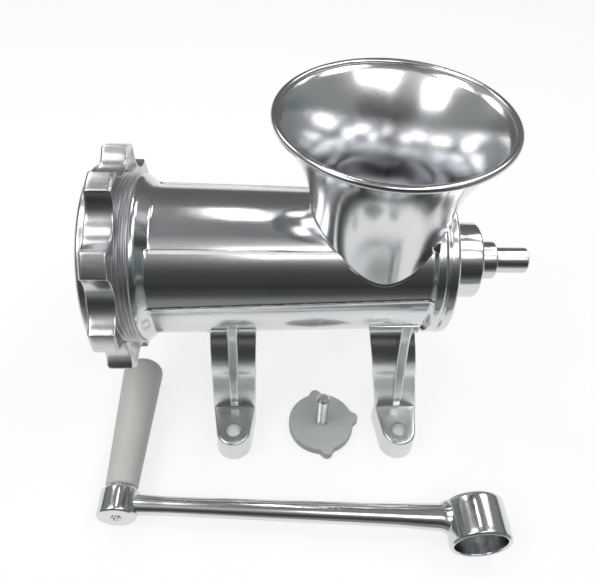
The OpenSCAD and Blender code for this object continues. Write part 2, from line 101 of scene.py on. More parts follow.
def zigzag(phase: Array) -> Array:
    """Straight wave: 1 at whole phases and 0 halfway between them."""
    return np.abs(2.0 * (phase % 1.0) - 1.0)


def chord(radius: Array, off: Array, least: float = 0.0) -> Array:
    """Half a chord at a distance off a circle's middle: the root of radius^2 - off^2, or of least."""
    return np.sqrt(np.maximum(radius**2 - off**2, least))


def soft_max(a: Array, b: Array, blend: float) -> Array:
    """Larger of two heights with a rounded valley: half of a + b + sqrt((a - b)^2 + blend^2)."""
    return 0.5 * (a + b + np.sqrt((a - b) ** 2 + blend**2))


def soft_min(a: Array, b: Array, blend: float) -> Array:
    """Smaller of two heights with a rounded ridge, the mirror of soft_max."""
    return -soft_max(-a, -b, blend)


def unit(vectors: Array) -> Array:
    """Vectors scaled to length 1 along the last axis."""
    return vectors / np.maximum(np.linalg.norm(vectors, axis=-1, keepdims=True), 1e-12)


def rounded_line(corners: Sequence[Corner], closed: bool = False, steps: int = 6) -> Array:
    """Polyline whose corners are replaced by tangent arcs.

    A corner of radius R with half angle h is cut R / tan(h) before and after its tip, and the arc
    between turns about a centre R / sin(h) along the corner's bisector.

    Args:
        corners: (a, b, radius) of each corner in order, or (a, b) where it stays sharp.
        closed: whether the last corner joins the first.
        steps: pieces of each arc.

    Returns:
        Points of the line, one (a, b) a row.
    """
    data = np.array([(*corner, 0.0)[:3] for corner in corners], float)
    tips, radii = data[:, :2], data[:, 2].copy()
    if not closed:
        radii[[0, -1]] = 0.0
    before = unit(np.roll(tips, 1, 0) - tips)
    after = unit(np.roll(tips, -1, 0) - tips)
    half = 0.5 * np.arccos(np.clip((before * after).sum(1), -1.0, 1.0))
    half = np.clip(half, 0.02, 0.5 * math.pi - 1e-4)
    centres = tips + unit(before + after) * (radii / np.sin(half))[:, None]
    spokes_in = tips + before * (radii / np.tan(half))[:, None] - centres
    spokes_out = tips + after * (radii / np.tan(half))[:, None] - centres
    start = np.arctan2(spokes_in[:, 1], spokes_in[:, 0])
    sweep = np.arctan2(spokes_out[:, 1], spokes_out[:, 0]) - start
    sweep = (sweep + math.pi) % TURN - math.pi
    angle = start[:, None] + sweep[:, None] * np.linspace(0.0, 1.0, steps + 1)
    arcs = centres[:, None] + radii[:, None, None] * np.stack([np.cos(angle), np.sin(angle)], -1)
    line = np.where(radii[:, None, None] > 0, arcs, tips[:, None, :]).reshape(-1, 2)
    gap = np.linalg.norm(np.diff(line, axis=0), axis=1)
    return line[np.concatenate([[True], gap > SAME_POINT])]


def densified(line: Array, longest: float) -> Array:
    """Line with points added so that no step is longer than a limit.

    Args:
        line: points, one a row.
        longest: longest step allowed.

    Returns:
        The denser line, with all its old points.
    """
    steps = np.diff(line, axis=0)
    counts = np.maximum(1, np.ceil(np.linalg.norm(steps, axis=1) / longest)).astype(int)
    owner = np.repeat(np.arange(len(steps)), counts)
    first = np.repeat(np.cumsum(counts) - counts, counts)
    share = (np.arange(counts.sum()) - first) / counts[owner]
    return np.concatenate([line[owner] + share[:, None] * steps[owner], line[-1:]])


def smooth_line(points: Sequence[Pair], count: int) -> Array:
    """Curve through points by cubic Hermite spans with central-difference tangents.

    Args:
        points: points that the curve passes, one a row.
        count: number of points returned, spread evenly by span.

    Returns:
        Points of the curve.
    """
    knots = np.array(points, float)
    slopes = np.gradient(knots, axis=0)
    u = np.linspace(0.0, len(knots) - 1.0, count)
    i = np.minimum(u.astype(int), len(knots) - 2)
    t = (u - i)[:, None]
    return (
        (2 * t**3 - 3 * t**2 + 1) * knots[i]
        + (t**3 - 2 * t**2 + t) * slopes[i]
        + (3 * t**2 - 2 * t**3) * knots[i + 1]
        + (t**3 - t**2) * slopes[i + 1]
    )


def grown(section: Array, factor: Array) -> tuple[Array, Array]:
    """Both coordinates of a section scaled about its middle, one row for each factor."""
    middle = section.mean(0)
    return tuple(middle[i] + (section[:, i] - middle[i])[None, :] * factor for i in (0, 1))


def both_sides(middle: float, half: float, step: float) -> list[Triple]:
    """Dense runs of angles about a middle angle and its mirror image, in degrees."""
    return [(s * middle - half, s * middle + half, step) for s in (-1, 1)]


def angles(count: int, dense: Sequence[Triple] = ()) -> Array:
    """Angles round a full turn, with denser runs in places.

    Args:
        count: evenly spaced angles.
        dense: (from, to, step) in degrees of each denser run.

    Returns:
        Sorted angles in radians from -pi up to, but without, pi.
    """
    runs = [np.arange(count) * 360.0 / count - 180.0]
    runs += [np.arange(*run) for run in dense]
    return np.radians(np.unique(np.round(np.concatenate(runs), 4)))


@dataclass(frozen=True)
class Patch:
    """One grid of points, with its rows or columns joined into rings where asked."""

    points: Array
    wrap_rows: bool = False
    wrap_columns: bool = False

    def faces(self) -> Array:
        """Corner numbers of the grid's quads.

        Returns:
            The numbers, one face a row.
        """
        rows, columns = self.points.shape[:2]
        i = np.arange(rows if self.wrap_rows else rows - 1)[:, None]
        j = np.arange(columns if self.wrap_columns else columns - 1)[None, :]
        i_next, j_next = (i + 1) % rows, (j + 1) % columns
        corners = [i * columns + j, i * columns + j_next, i_next * columns + j_next, i_next * columns + j]
        return np.stack(np.broadcast_arrays(*corners), -1).reshape(-1, 4)


@dataclass(frozen=True)
class Axle:
    """A turning axis, with the direction that angle 0 points in."""

    origin: Triple
    along: Triple
    up: Triple

    def points(self, station: Array, radius: Array, angle: Array) -> Array:
        """Places points by station along the axis, radius and angle.

        The point is origin + along * station + radius * (up * cos(angle) + side * sin(angle)),
        where side is along crossed with up.

        Args:
            station: distance along the axis.
            radius: distance from the axis.
            angle: angle from the up direction, in radians.

        Returns:
            Points with the broadcast shape of the arguments and a last axis of 3.
        """
        along, up = np.array(self.along, float), np.array(self.up, float)
        side = np.cross(along, up)
        s, r, a = (x[..., None] for x in np.broadcast_arrays(station, radius, angle))
        return np.array(self.origin, float) + along * s + r * (up * np.cos(a) + side * np.sin(a))

    def lathe(self, corners: Sequence[Corner], turn: Array, longest: float, closed: bool = False,
              steps: int = 6, shape: Optional[Callable[[Array, Array], Array]] = None) -> Patch:
        """Turned form of an outline with rounded corners.

        Args:
            corners: (station, radius, rounding) of each corner, as for rounded_line.
            turn: angles round the axis.
            longest: longest step along the outline.
            closed: whether the last corner joins the first.
            steps: pieces of each rounding.
            shape: gives the radius from stations and radii where the form is not round.

        Returns:
            The grid, one row for each point of the outline.
        """
        line = densified(rounded_line(corners, closed, steps), longest)
        station, radius = line[:, :1], line[:, 1:]
        if shape is not None:
            radius = shape(station, radius)
        return Patch(self.points(station, radius, turn[None, :]), closed, True)


def flat_cut(out: float, radius: float, count: int, foot: float) -> tuple[Array, Array]:
    """Angles and radii of a round form with a flat.

    A flat at a distance from the axis stands at out / cos(angle from the flat's middle).

    Args:
        out: distance of the flat from the axis.
        radius: radius of the form.
        count: evenly spaced angles round it.
        foot: angle of the flat's middle, 0 or 180 degrees.

    Returns:
        Angles, close together at the flat's edges, and the flat's radius at each of them.
    """
    edge = abs(foot - math.degrees(math.acos(out / radius)))
    turn = angles(count, both_sides(edge, *FLAT_EDGE))
    cosine = math.cos(math.radians(foot)) * np.cos(turn)
    return turn, out / np.maximum(cosine[None, :], LEAST_COSINE)


def upright(x: float, y: float = 0.0) -> Axle:
    """Axis that stands on the floor at a place, with angle 0 along +X."""
    return Axle((x, y, 0.0), (0.0, 0.0, 1.0), (1.0, 0.0, 0.0))


def crosswise(x: float, z: float) -> Axle:
    """Axis that runs along +Y through a place, with angle 0 up."""
    return Axle((x, 0.0, z), (0.0, 1.0, 0.0), (0.0, 0.0, 1.0))


class Graph:
    """Adds shader nodes to one material or world and links them."""

    def __init__(self, owner: bpy.types.Material | bpy.types.World) -> None:
        """Switches the owner's nodes on and empties them, so that the finish starts clean."""
        owner.use_nodes = True
        self.tree = owner.node_tree
        self.tree.nodes.clear()

    def node(self, kind: str, inputs: Optional[dict] = None, **settings: object) -> bpy.types.Node:
        """Adds a node.

        Args:
            kind: Blender's name of the node type.
            inputs: values or sockets for its inputs, by name or number.
            settings: properties of the node.

        Returns:
            The new node.
        """
        made = self.tree.nodes.new(kind)
        for name, value in settings.items():
            setattr(made, name, value)
        for name, value in (inputs or {}).items():
            if isinstance(value, Socket):
                self.tree.links.new(value, made.inputs[name])
            else:
                made.inputs[name].default_value = value
        return made

    def calc(self, operation: str, *values: Socket | float) -> Socket:
        """Result of a math node for one or two values."""
        return self.node("ShaderNodeMath", dict(enumerate(values)), operation=operation).outputs[0]

    def output(self, shader: bpy.types.Node) -> None:
        """Makes a shader the material's surface."""
        self.node("ShaderNodeOutputMaterial", {0: shader.outputs[0]})

    def place(self, scale: Triple = (1.0, 1.0, 1.0)) -> Socket:
        """Object coordinates stretched by a scale, so that a pattern has a grain."""
        where = self.node("ShaderNodeTexCoord").outputs["Object"]
        return self.node("ShaderNodeMapping", {"Vector": where, "Scale": scale}).outputs["Vector"]

    def noise(self, vector: Socket, size_mm: float, detail: float = 3.0) -> Socket:
        """Noise whose cells are about a given size, with a number of finer octaves."""
        inputs = {"Vector": vector, "Scale": 1.0 / (MM * size_mm), "Detail": detail}
        return self.node("ShaderNodeTexNoise", {**inputs, "Roughness": NOISE_ROUGHNESS}).outputs[0]

    def spread(self, value: Socket, low: float, high: float) -> Socket:
        """Maps the middle range of a noise to the range from low to high."""
        inputs = {0: value, 1: NOISE_LOW, 2: NOISE_HIGH, 3: low, 4: high}
        return self.node("ShaderNodeMapRange", inputs).outputs[0]

    def ramp(self, factor: Socket, stops: Sequence[tuple[float, Triple]]) -> Socket:
        """Colour read from a ramp.

        Args:
            factor: where on the ramp to read.
            stops: place and colour of each stop, in order.

        Returns:
            The colour's socket.
        """
        made = self.node("ShaderNodeValToRGB", {0: factor})
        elements = made.color_ramp.elements
        elements[0].position, elements[-1].position = stops[0][0], stops[-1][0]
        for spot, _ in stops[1:-1]:
            elements.new(spot)
        for element, (_, colour) in zip(elements, stops):
            element.color = (*colour, 1.0)
        return made.outputs[0]

    def blend(self, factor: Socket, first: Triple, second: Triple) -> Socket:
        """Colour that runs from one to the other over the middle range of a noise."""
        return self.ramp(factor, ((NOISE_LOW, first), (NOISE_HIGH, second)))

    def bump(self, height: Socket, depth_mm: float, below: Optional[Socket] = None) -> Socket:
        """Bumps a surface by a height.

        Args:
            height: noise that gives the height.
            depth_mm: depth of the bumps.
            below: normal of a coarser bump that this one lies on.

        Returns:
            The normal's socket.
        """
        inputs = {"Height": height, "Distance": depth_mm * MM, "Strength": 1.0}
        if below is not None:
            inputs["Normal"] = below
        return self.node("ShaderNodeBump", inputs).outputs["Normal"]


@dataclass(frozen=True)
class Metal:
    """A bare metal finish: tint, gloss, casting ripples and the grain that polishing leaves."""

    name: str
    bright: Triple
    dull: Triple
    gloss: Pair
    ripple_mm: float
    ripple_depth_mm: float
    grain: Triple
    grain_mm: float
    grain_depth_mm: float
    clouds: float = 3.0

    def material(self) -> bpy.types.Material:
        """Builds the finish.

        Large noise tints the metal and gives slow ripples, and stretched fine noise gives the
        polishing marks in the roughness and the bump.

        Returns:
            The material.
        """
        made = bpy.data.materials.new(self.name)
        graph = Graph(made)
        cloud = graph.noise(graph.place(), self.clouds * self.ripple_mm)
        marks = graph.noise(graph.place(self.grain), self.grain_mm, FINE)
        normal = graph.bump(graph.noise(graph.place(), self.ripple_mm, SMOOTH), self.ripple_depth_mm)
        rough_patches = graph.calc("MULTIPLY", graph.calc("ADD", cloud, marks), 0.5)
        graph.output(graph.node("ShaderNodeBsdfPrincipled", {
            "Base Color": graph.blend(cloud, self.dull, self.bright),
            "Metallic": 1.0,
            "Roughness": graph.spread(rough_patches, *self.gloss),
            "Normal": graph.bump(marks, self.grain_depth_mm, normal),
        }))
        return made


@dataclass(frozen=True)
class Plastic:
    """A milky moulded plastic that lets some light in."""

    name: str
    milky: Triple
    shaded: Triple
    glow_mm: float
    glow: float = 0.35
    glow_tint: Triple = (1.0, 0.95, 0.85)
    gloss: Pair = (0.38, 0.5)
    shine: float = 0.35
    cloud_mm: float = 26.0
    cloud_grain: Triple = (1.0, 0.5, 1.0)
    skin_mm: float = 0.9
    skin_depth_mm: float = 0.02

    def material(self) -> bpy.types.Material:
        """Builds the finish: cloudy tint, light below the skin and a fine moulded texture.

        Returns:
            The material.
        """
        made = bpy.data.materials.new(self.name)
        graph = Graph(made)
        cloud = graph.noise(graph.place(self.cloud_grain), self.cloud_mm)
        skin = graph.noise(graph.place(), self.skin_mm, FINE)
        graph.output(graph.node("ShaderNodeBsdfPrincipled", {
            "Base Color": graph.blend(cloud, self.shaded, self.milky),
            "Roughness": graph.spread(skin, *self.gloss),
            "Normal": graph.bump(skin, self.skin_depth_mm),
            "Subsurface Weight": self.glow,
            "Subsurface Radius": self.glow_tint,
            "Subsurface Scale": self.glow_mm * MM,
            "Specular IOR Level": self.shine,
        }))
        return made


Finish = Metal | Plastic

POLISHED_CASTING = Metal("polished_cast_aluminium", (0.74, 0.75, 0.76), (0.66, 0.67, 0.69), (0.13, 0.2),
                         24.0, 0.035, (0.25, 1.0, 1.0), 1.6, 0.006)
SATIN_CASTING = Metal("satin_cast_aluminium", (0.68, 0.68, 0.69), (0.58, 0.58, 0.60), (0.2, 0.3),
                      9.0, 0.06, (0.2, 1.0, 1.0), 1.1, 0.012)
# The legs: a darker, greenish tone than the polished casting, which is painted shade; the brushed grain is
# real.
LEG_PAINTED_SHADE_CASTING = Metal("brushed_cast_aluminium_painted_shade", (0.72, 0.74, 0.73), (0.60, 0.63, 0.62), (0.2, 0.28),
                    14.0, 0.04, (1.0, 0.4, 0.4), 1.6, 0.004)
# The hopper's inside: a lighter colour than the polished casting, which is painted light, and a slightly
# rougher finish.
INNER_PAINTED_LIGHT_CASTING = Metal("inner_cast_aluminium_painted_light", (0.86, 0.87, 0.88), (0.78, 0.79, 0.81), (0.15, 0.23),
                      18.0, 0.04, (1.0, 1.0, 0.4), 1.8, 0.004)
# Rougher than the polished casting, and whiter: the whiter colour is a painted highlight on the barrel's
# ledges and parting beads.
EDGE_PAINTED_HIGHLIGHT = Metal("cast_edge_painted_highlight", (0.88, 0.88, 0.89), (0.80, 0.80, 0.81), (0.42, 0.54),
                  9.0, 0.03, (0.3, 1.0, 1.0), 0.8, 0.01)
CUT_THREAD = Metal("cut_thread", (0.66, 0.66, 0.67), (0.56, 0.56, 0.58), (0.34, 0.44),
                   12.0, 0.03, (1.0, 1.0, 1.0), 0.9, 0.004)
ROUGH_CASTING = Metal("dull_cast_aluminium", (0.66, 0.67, 0.68), (0.55, 0.56, 0.58), (0.3, 0.45),
                      7.0, 0.08, (1.0, 1.0, 1.0), 0.9, 0.02)
TURNED_STEEL = Metal("turned_steel", (0.70, 0.71, 0.72), (0.60, 0.61, 0.63), (0.16, 0.28),
                     20.0, 0.02, (3.0, 0.4, 0.4), 0.8, 0.006)
GROUND_STEEL = Metal("ground_steel", (0.62, 0.63, 0.65), (0.52, 0.53, 0.55), (0.22, 0.34),
                     20.0, 0.02, (1.0, 0.1, 1.0), 0.7, 0.008)
ZINC_PLATE = Metal("zinc_plated_steel", (0.74, 0.76, 0.77), (0.62, 0.65, 0.66), (0.18, 0.3),
                   6.0, 0.02, (1.0, 1.0, 2.0), 0.6, 0.008)
BEARING_BRONZE = Metal("bearing_bronze", (0.74, 0.57, 0.33), (0.62, 0.45, 0.25), (0.24, 0.36),
                       12.0, 0.02, (2.0, 0.5, 0.5), 0.7, 0.008)
GRIP_PLASTIC = Plastic("milky_grip_plastic", (0.70, 0.70, 0.67), (0.64, 0.64, 0.61), 5.0)
HEAD_PLASTIC = Plastic("milky_head_plastic", (0.57, 0.60, 0.58), (0.51, 0.55, 0.53), 4.0)


def add_object(name: str, data: bpy.types.ID) -> Object:
    """New object of some data, in the scene."""
    made = bpy.data.objects.new(name, data)
    bpy.context.scene.collection.objects.link(made)
    return made


def add_grids(name: str, patches: Sequence[Patch], scale: float) -> Object:
    """Adds an object made of grids.

    Args:
        name: name of the object.
        patches: its grids.
        scale: metres in one unit of the grids.

    Returns:
        The new object, at the origin.
    """
    sizes = np.array([p.points.shape[0] * p.points.shape[1] for p in patches])
    shifts = np.concatenate([[0], np.cumsum(sizes)[:-1]])
    points = np.concatenate([p.points.reshape(-1, 3) for p in patches]) * scale
    faces = np.concatenate([p.faces() + s for p, s in zip(patches, shifts)])
    mesh = bpy.data.meshes.new(name)
    mesh.from_pydata(points, [], faces)
    return add_object(name, mesh)


class Bench:
    """Turns patches into dressed pieces that ride on the frame."""

    def __init__(self) -> None:
        """Starts with no materials made."""
        self.materials: dict[str, bpy.types.Material] = {}

    def finish(self, finish: Finish) -> bpy.types.Material:
        """Material of a finish, made once."""
        if finish.name not in self.materials:
            self.materials[finish.name] = finish.material()
        return self.materials[finish.name]

    def mesh(self, name: str, patches: Sequence[Patch]) -> Object:
        """Joins grids in millimetres into one closed mesh.

        Corners that coincide are merged, which closes seams and poles, and the normals are turned
        outwards.

        Args:
            name: name of the object.
            patches: its grids.

        Returns:
            The new object, at the origin.
        """
        made = add_grids(name, patches, MM)
        work = bmesh.new()
        work.from_mesh(made.data)
        bmesh.ops.remove_doubles(work, verts=work.verts, dist=MERGE_DISTANCE)
        bmesh.ops.dissolve_degenerate(work, dist=SLIVER_LENGTH, edges=work.edges)
        bmesh.ops.recalc_face_normals(work, faces=work.faces)
        work.to_mesh(made.data)
        work.free()
        return made

    def cut(self, piece: Object, cutter: Sequence[Patch]) -> None:
        """Takes a closed form out of a piece with an exact Boolean that is applied at once.

        Args:
            piece: object that is cut.
            cutter: grids of the form taken out.
        """
        tool = self.mesh("cutter", cutter)
        modifier = piece.modifiers.new("opening", "BOOLEAN")
        modifier.object, modifier.operation, modifier.solver = tool, "DIFFERENCE", "EXACT"
        ready = piece.evaluated_get(bpy.context.evaluated_depsgraph_get())
        old, piece.data = piece.data, bpy.data.meshes.new_from_object(ready)
        piece.modifiers.clear()
        bpy.data.meshes.remove(old)
        bpy.data.objects.remove(tool)

    def middles(self, piece: Object) -> Array:
        """Middles of a piece's faces in millimetres, one row for each of x, y and z."""
        flat = np.empty(3 * len(piece.data.polygons))
        piece.data.polygons.foreach_get("center", flat)
        return flat.reshape(-1, 3).T / MM

    def refinish(self, piece: Object, finish: Finish, chosen: Array) -> None:
        """Gives some faces of a dressed piece a further finish.

        Args:
            piece: dressed object.
            finish: the further finish.
            chosen: true for each face that gets it.
        """
        piece.data.materials.append(self.finish(finish))
        index = np.empty(len(piece.data.polygons), np.int32)
        piece.data.polygons.foreach_get("material_index", index)
        index[chosen] = len(piece.data.materials) - 1
        piece.data.polygons.foreach_set("material_index", index)

    def dress(self, piece: Object, finish: Finish, body: Body, slot: Slot, nodes: Sequence[str],
              sharp_deg: float = 40.0) -> None:
        """Shades a piece, gives it its finish and puts it in place of CAD nodes.

        Args:
            piece: object to dress.
            finish: its finish.
            body: body that it rides on.
            slot: its material slot; not used.
            nodes: CAD nodes that it stands for.
            sharp_deg: edges that turn more than this stay sharp.
        """
        piece.data.materials.clear()
        piece.data.materials.append(self.finish(finish))
        count = len(piece.data.polygons)
        piece.data.polygons.foreach_set("use_smooth", np.ones(count, bool))
        piece.data.set_sharp_from_angle(angle=math.radians(sharp_deg))
        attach(piece, body.value)
        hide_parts(*nodes)
        log.info("%s: %d faces on %s for %s", piece.name, count, body.value, ", ".join(nodes))

    def make(self, name: str, patches: Sequence[Patch], *dressing: object) -> Object:
        """Makes a piece of grids and dresses it with what dress takes after the piece."""
        piece = self.mesh(name, patches)
        self.dress(piece, *dressing)
        return piece

    def repaint(self, node: str, finish: Finish) -> None:
        """Gives a CAD node that stays a finish of its own.

        Args:
            node: name of the node.
            finish: its finish.
        """
        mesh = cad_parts[node].data
        mesh.materials.clear()
        mesh.materials.append(self.finish(finish))
        log.info("%s: CAD node kept, finished in %s", node, finish.name)


@dataclass
class Maker:
    """A maker of pieces, with the bench where they are made."""

    bench: Bench


BARREL_Z = 96.0
BARREL_AXIS = Axle((0.0, 0.0, BARREL_Z), (1.0, 0.0, 0.0), (0.0, 0.0, 1.0))


@dataclass
class Barrel(Maker):
    """Barrel of the casting, from its threaded mouth to the rear boss."""

    mouth_x: float = -115.0
    thread_end_x: float = -99.8
    thread_r: float = 49.0
    thread_depth: float = 1.1
    thread_flank: Pair = (0.12, 0.8)
    thread_fade: Pair = (1.5, 1.2)
    pitch: float = 2.5
    collar_r: float = 48.4
    collar_land: float = 1.4
    collar_round: float = 5.0
    collar_blend: float = 0.5
    collar_end_x: float = -91.4
    taper_end_x: float = 57.0
    front_r: float = 43.8
    rear_r: float = 40.6
    recess: float = 1.4
    recess_deg: float = 42.0
    ledge_deg: float = 0.9
    bead_h: float = 0.55
    bead_w: float = 0.8
    bead_front_deg: float = 86.0
    bead_rear_deg: float = 80.5
    bead_run: Triple = (84.0, 6.5, 0.4)
    ledge_run: Pair = (3.0, 0.2)
    flange_x: float = 61.0
    flange_r: float = 43.0
    groove_x: float = 65.6
    groove_w: float = 1.0
    groove_depth: float = 0.8
    rear_x: float = 72.0
    rear_edge: float = 2.0
    boss_r: float = 22.2
    boss_x: float = 91.8
    bush_r: float = 14.65
    bore_end_x: float = 64.0
    bore_r: float = 35.5
    chamber_end_x: float = -100.1
    chamber_r: float = 41.3
    throat_x: float = 31.6
    throat_r: float = 33.25
    throat_z: Pair = (98.0, 160.0)
    # Bands about the ledges and the beads whose faces get the painted highlight.
    highlight_ledge_deg: Pair = (1.2, 1.5)
    highlight_bead_deg: float = 0.9
    highlight_margin: float = 0.5

    def share(self, x: Array) -> Array:
        """Share of the way from the collar to the end of the taper."""
        return (x - self.collar_end_x) / (self.taper_end_x - self.collar_end_x)

    def taper(self, x: Array) -> Array:
        """Radius of the barrel's skin below the recess, straight from front_r to rear_r."""
        return mix(self.front_r, self.rear_r, self.share(x))

    def bead_deg(self, x: Array) -> Array:
        """Angle from the top to the parting bead, which sinks towards the mouth."""
        return mix(self.bead_front_deg, self.bead_rear_deg, np.clip(self.share(x), 0.0, 1.0))

    def radius(self, x: Array, angle: Array) -> Array:
        """Outer radius at a station and an angle from the top.

        The thread is a smooth ridge of the fraction of x / pitch - angle / turn. The skin is the
        straight taper less the top recess plus a bead of bell shape along the parting line. The
        collar, a rounded cone, and the flange, an eased step with a groove, blend into it. The
        collar's line starts below the thread and runs on to a point well below the skin.

        Args:
            x: stations along the barrel.
            angle: angles from the top.

        Returns:
            The radius in the broadcast shape.
        """
        ridge = ease(1.0 - zigzag((x - self.mouth_x) / self.pitch - angle / TURN), *self.thread_flank)
        fade_in = ease(x, self.mouth_x, self.mouth_x + self.thread_fade[0])
        fade_out = 1.0 - ease(x, self.thread_end_x - self.thread_fade[1], self.thread_end_x)
        thread = self.thread_r - self.thread_depth * (1.0 - ridge * (fade_in * fade_out))
        turn_deg = np.degrees(np.abs(angle))
        top = 1.0 - ease(turn_deg, self.recess_deg - self.ledge_deg, self.recess_deg + self.ledge_deg)
        off = np.radians(turn_deg - self.bead_deg(x)) * self.front_r / self.bead_w
        skin = self.taper(x) - self.recess * top + self.bead_h * np.exp(-(off**2))
        skin = mix(skin, self.flange_r, ease(x, self.taper_end_x, self.flange_x))
        skin = skin - self.groove_depth * np.exp(-(((x - self.groove_x) / self.groove_w) ** 2))
        line = rounded_line([
            (self.thread_end_x - 5.0, self.collar_r),
            (self.thread_end_x + self.collar_land, self.collar_r, self.collar_round),
            (self.collar_end_x, self.front_r - self.recess), (self.collar_end_x + 30.0, 20.0),
        ], steps=12)
        behind = soft_max(skin, np.interp(x, line[:, 0], line[:, 1]), self.collar_blend)
        return np.where(x < self.thread_end_x, thread, behind)

    def stations(self) -> Array:
        """Stations of the outside, close together at the thread, the collar and the flange.

        Returns:
            The stations in order.
        """
        collar, flange = self.collar_end_x + 1.5, self.taper_end_x - 1.0
        runs = ((self.mouth_x, self.thread_end_x, 0.22), (self.thread_end_x, collar, 0.4),
                (collar, flange, 3.0), (flange, self.rear_x - self.rear_edge, 0.3))
        return np.unique(np.concatenate([np.arange(*run) for run in runs]))

    def closing(self) -> list[Corner]:
        """Corners of the line that closes the outside, round the rear and through the bore."""
        return [
            (self.rear_x - self.rear_edge, self.flange_r), (self.rear_x, self.flange_r, 1.9),
            (self.rear_x, self.boss_r, 2.4), (self.boss_x, self.boss_r, 1.8),
            (self.boss_x, self.bush_r, 0.3), (self.bore_end_x, self.bush_r),
            (self.bore_end_x, self.bore_r, 1.5), (self.chamber_end_x, self.bore_r, 0.4),
            (self.chamber_end_x, self.chamber_r, 0.2), (self.mouth_x, self.chamber_r, 0.4),
            (self.mouth_x, self.thread_r - self.thread_depth - 0.1),
        ]

    def build(self) -> None:
        """Makes the barrel: outside as radius(x, angle), closed by a turned line, throat cut out."""
        turn = angles(216, both_sides(*self.bead_run) + both_sides(self.recess_deg, *self.ledge_run))
        station = self.stations()[:, None]
        skin = BARREL_AXIS.points(station, self.radius(station, turn[None, :]), turn[None, :])
        rest = BARREL_AXIS.lathe(self.closing(), turn, 12.0).points
        piece = self.bench.mesh("grinder_barrel", [Patch(np.concatenate([skin, rest]), True, True)])
        low, high = self.throat_z
        plug = [(low, 0.0), (low, self.throat_r), (high, self.throat_r), (high, 0.0)]
        self.bench.cut(piece, [upright(self.throat_x).lathe(plug, angles(160), high)])
        self.bench.dress(piece, POLISHED_CASTING, Body.HOUSING, Slot.ALUMINIUM,
                         ["casting_mouth", "casting_barrel", "casting_rear", "casting_boss"])
        # Paints highlights on the ledges and the beads and gives the thread a cut finish.
        self.rough_patches(piece)

    def rough_patches(self, piece: Object) -> None:
        """Gives the ledges and the parting beads a rougher finish whose whiter colour is a painted highlight,
        and the thread a cut one.

        A face belongs to a ledge or a bead where its middle lies within a band about their angle,
        between the collar and the flange, and to the thread where it lies outside the chamber and
        in front of the collar.

        Args:
            piece: the barrel.
        """
        x, y, z = self.bench.middles(piece)
        radius = np.hypot(y, z - BARREL_Z)
        turn_deg = np.degrees(np.arctan2(np.abs(y), z - BARREL_Z))
        along = (x > self.collar_end_x + self.highlight_margin) & (x < self.taper_end_x - self.highlight_margin)
        outside = radius > self.rear_r - self.recess - self.highlight_margin
        ledge = np.abs(turn_deg - self.recess_deg - self.highlight_ledge_deg[0]) < self.highlight_ledge_deg[1]
        bead = np.abs(turn_deg - self.bead_deg(x)) < self.highlight_bead_deg
        # Ledges and beads: a whiter colour that is a painted highlight, with a rougher finish.
        self.bench.refinish(piece, EDGE_PAINTED_HIGHLIGHT, along & outside & (ledge | bead))
        cut = radius > self.thread_r - 1.5 * self.thread_depth
        self.bench.refinish(piece, CUT_THREAD, cut & (x < self.thread_end_x))


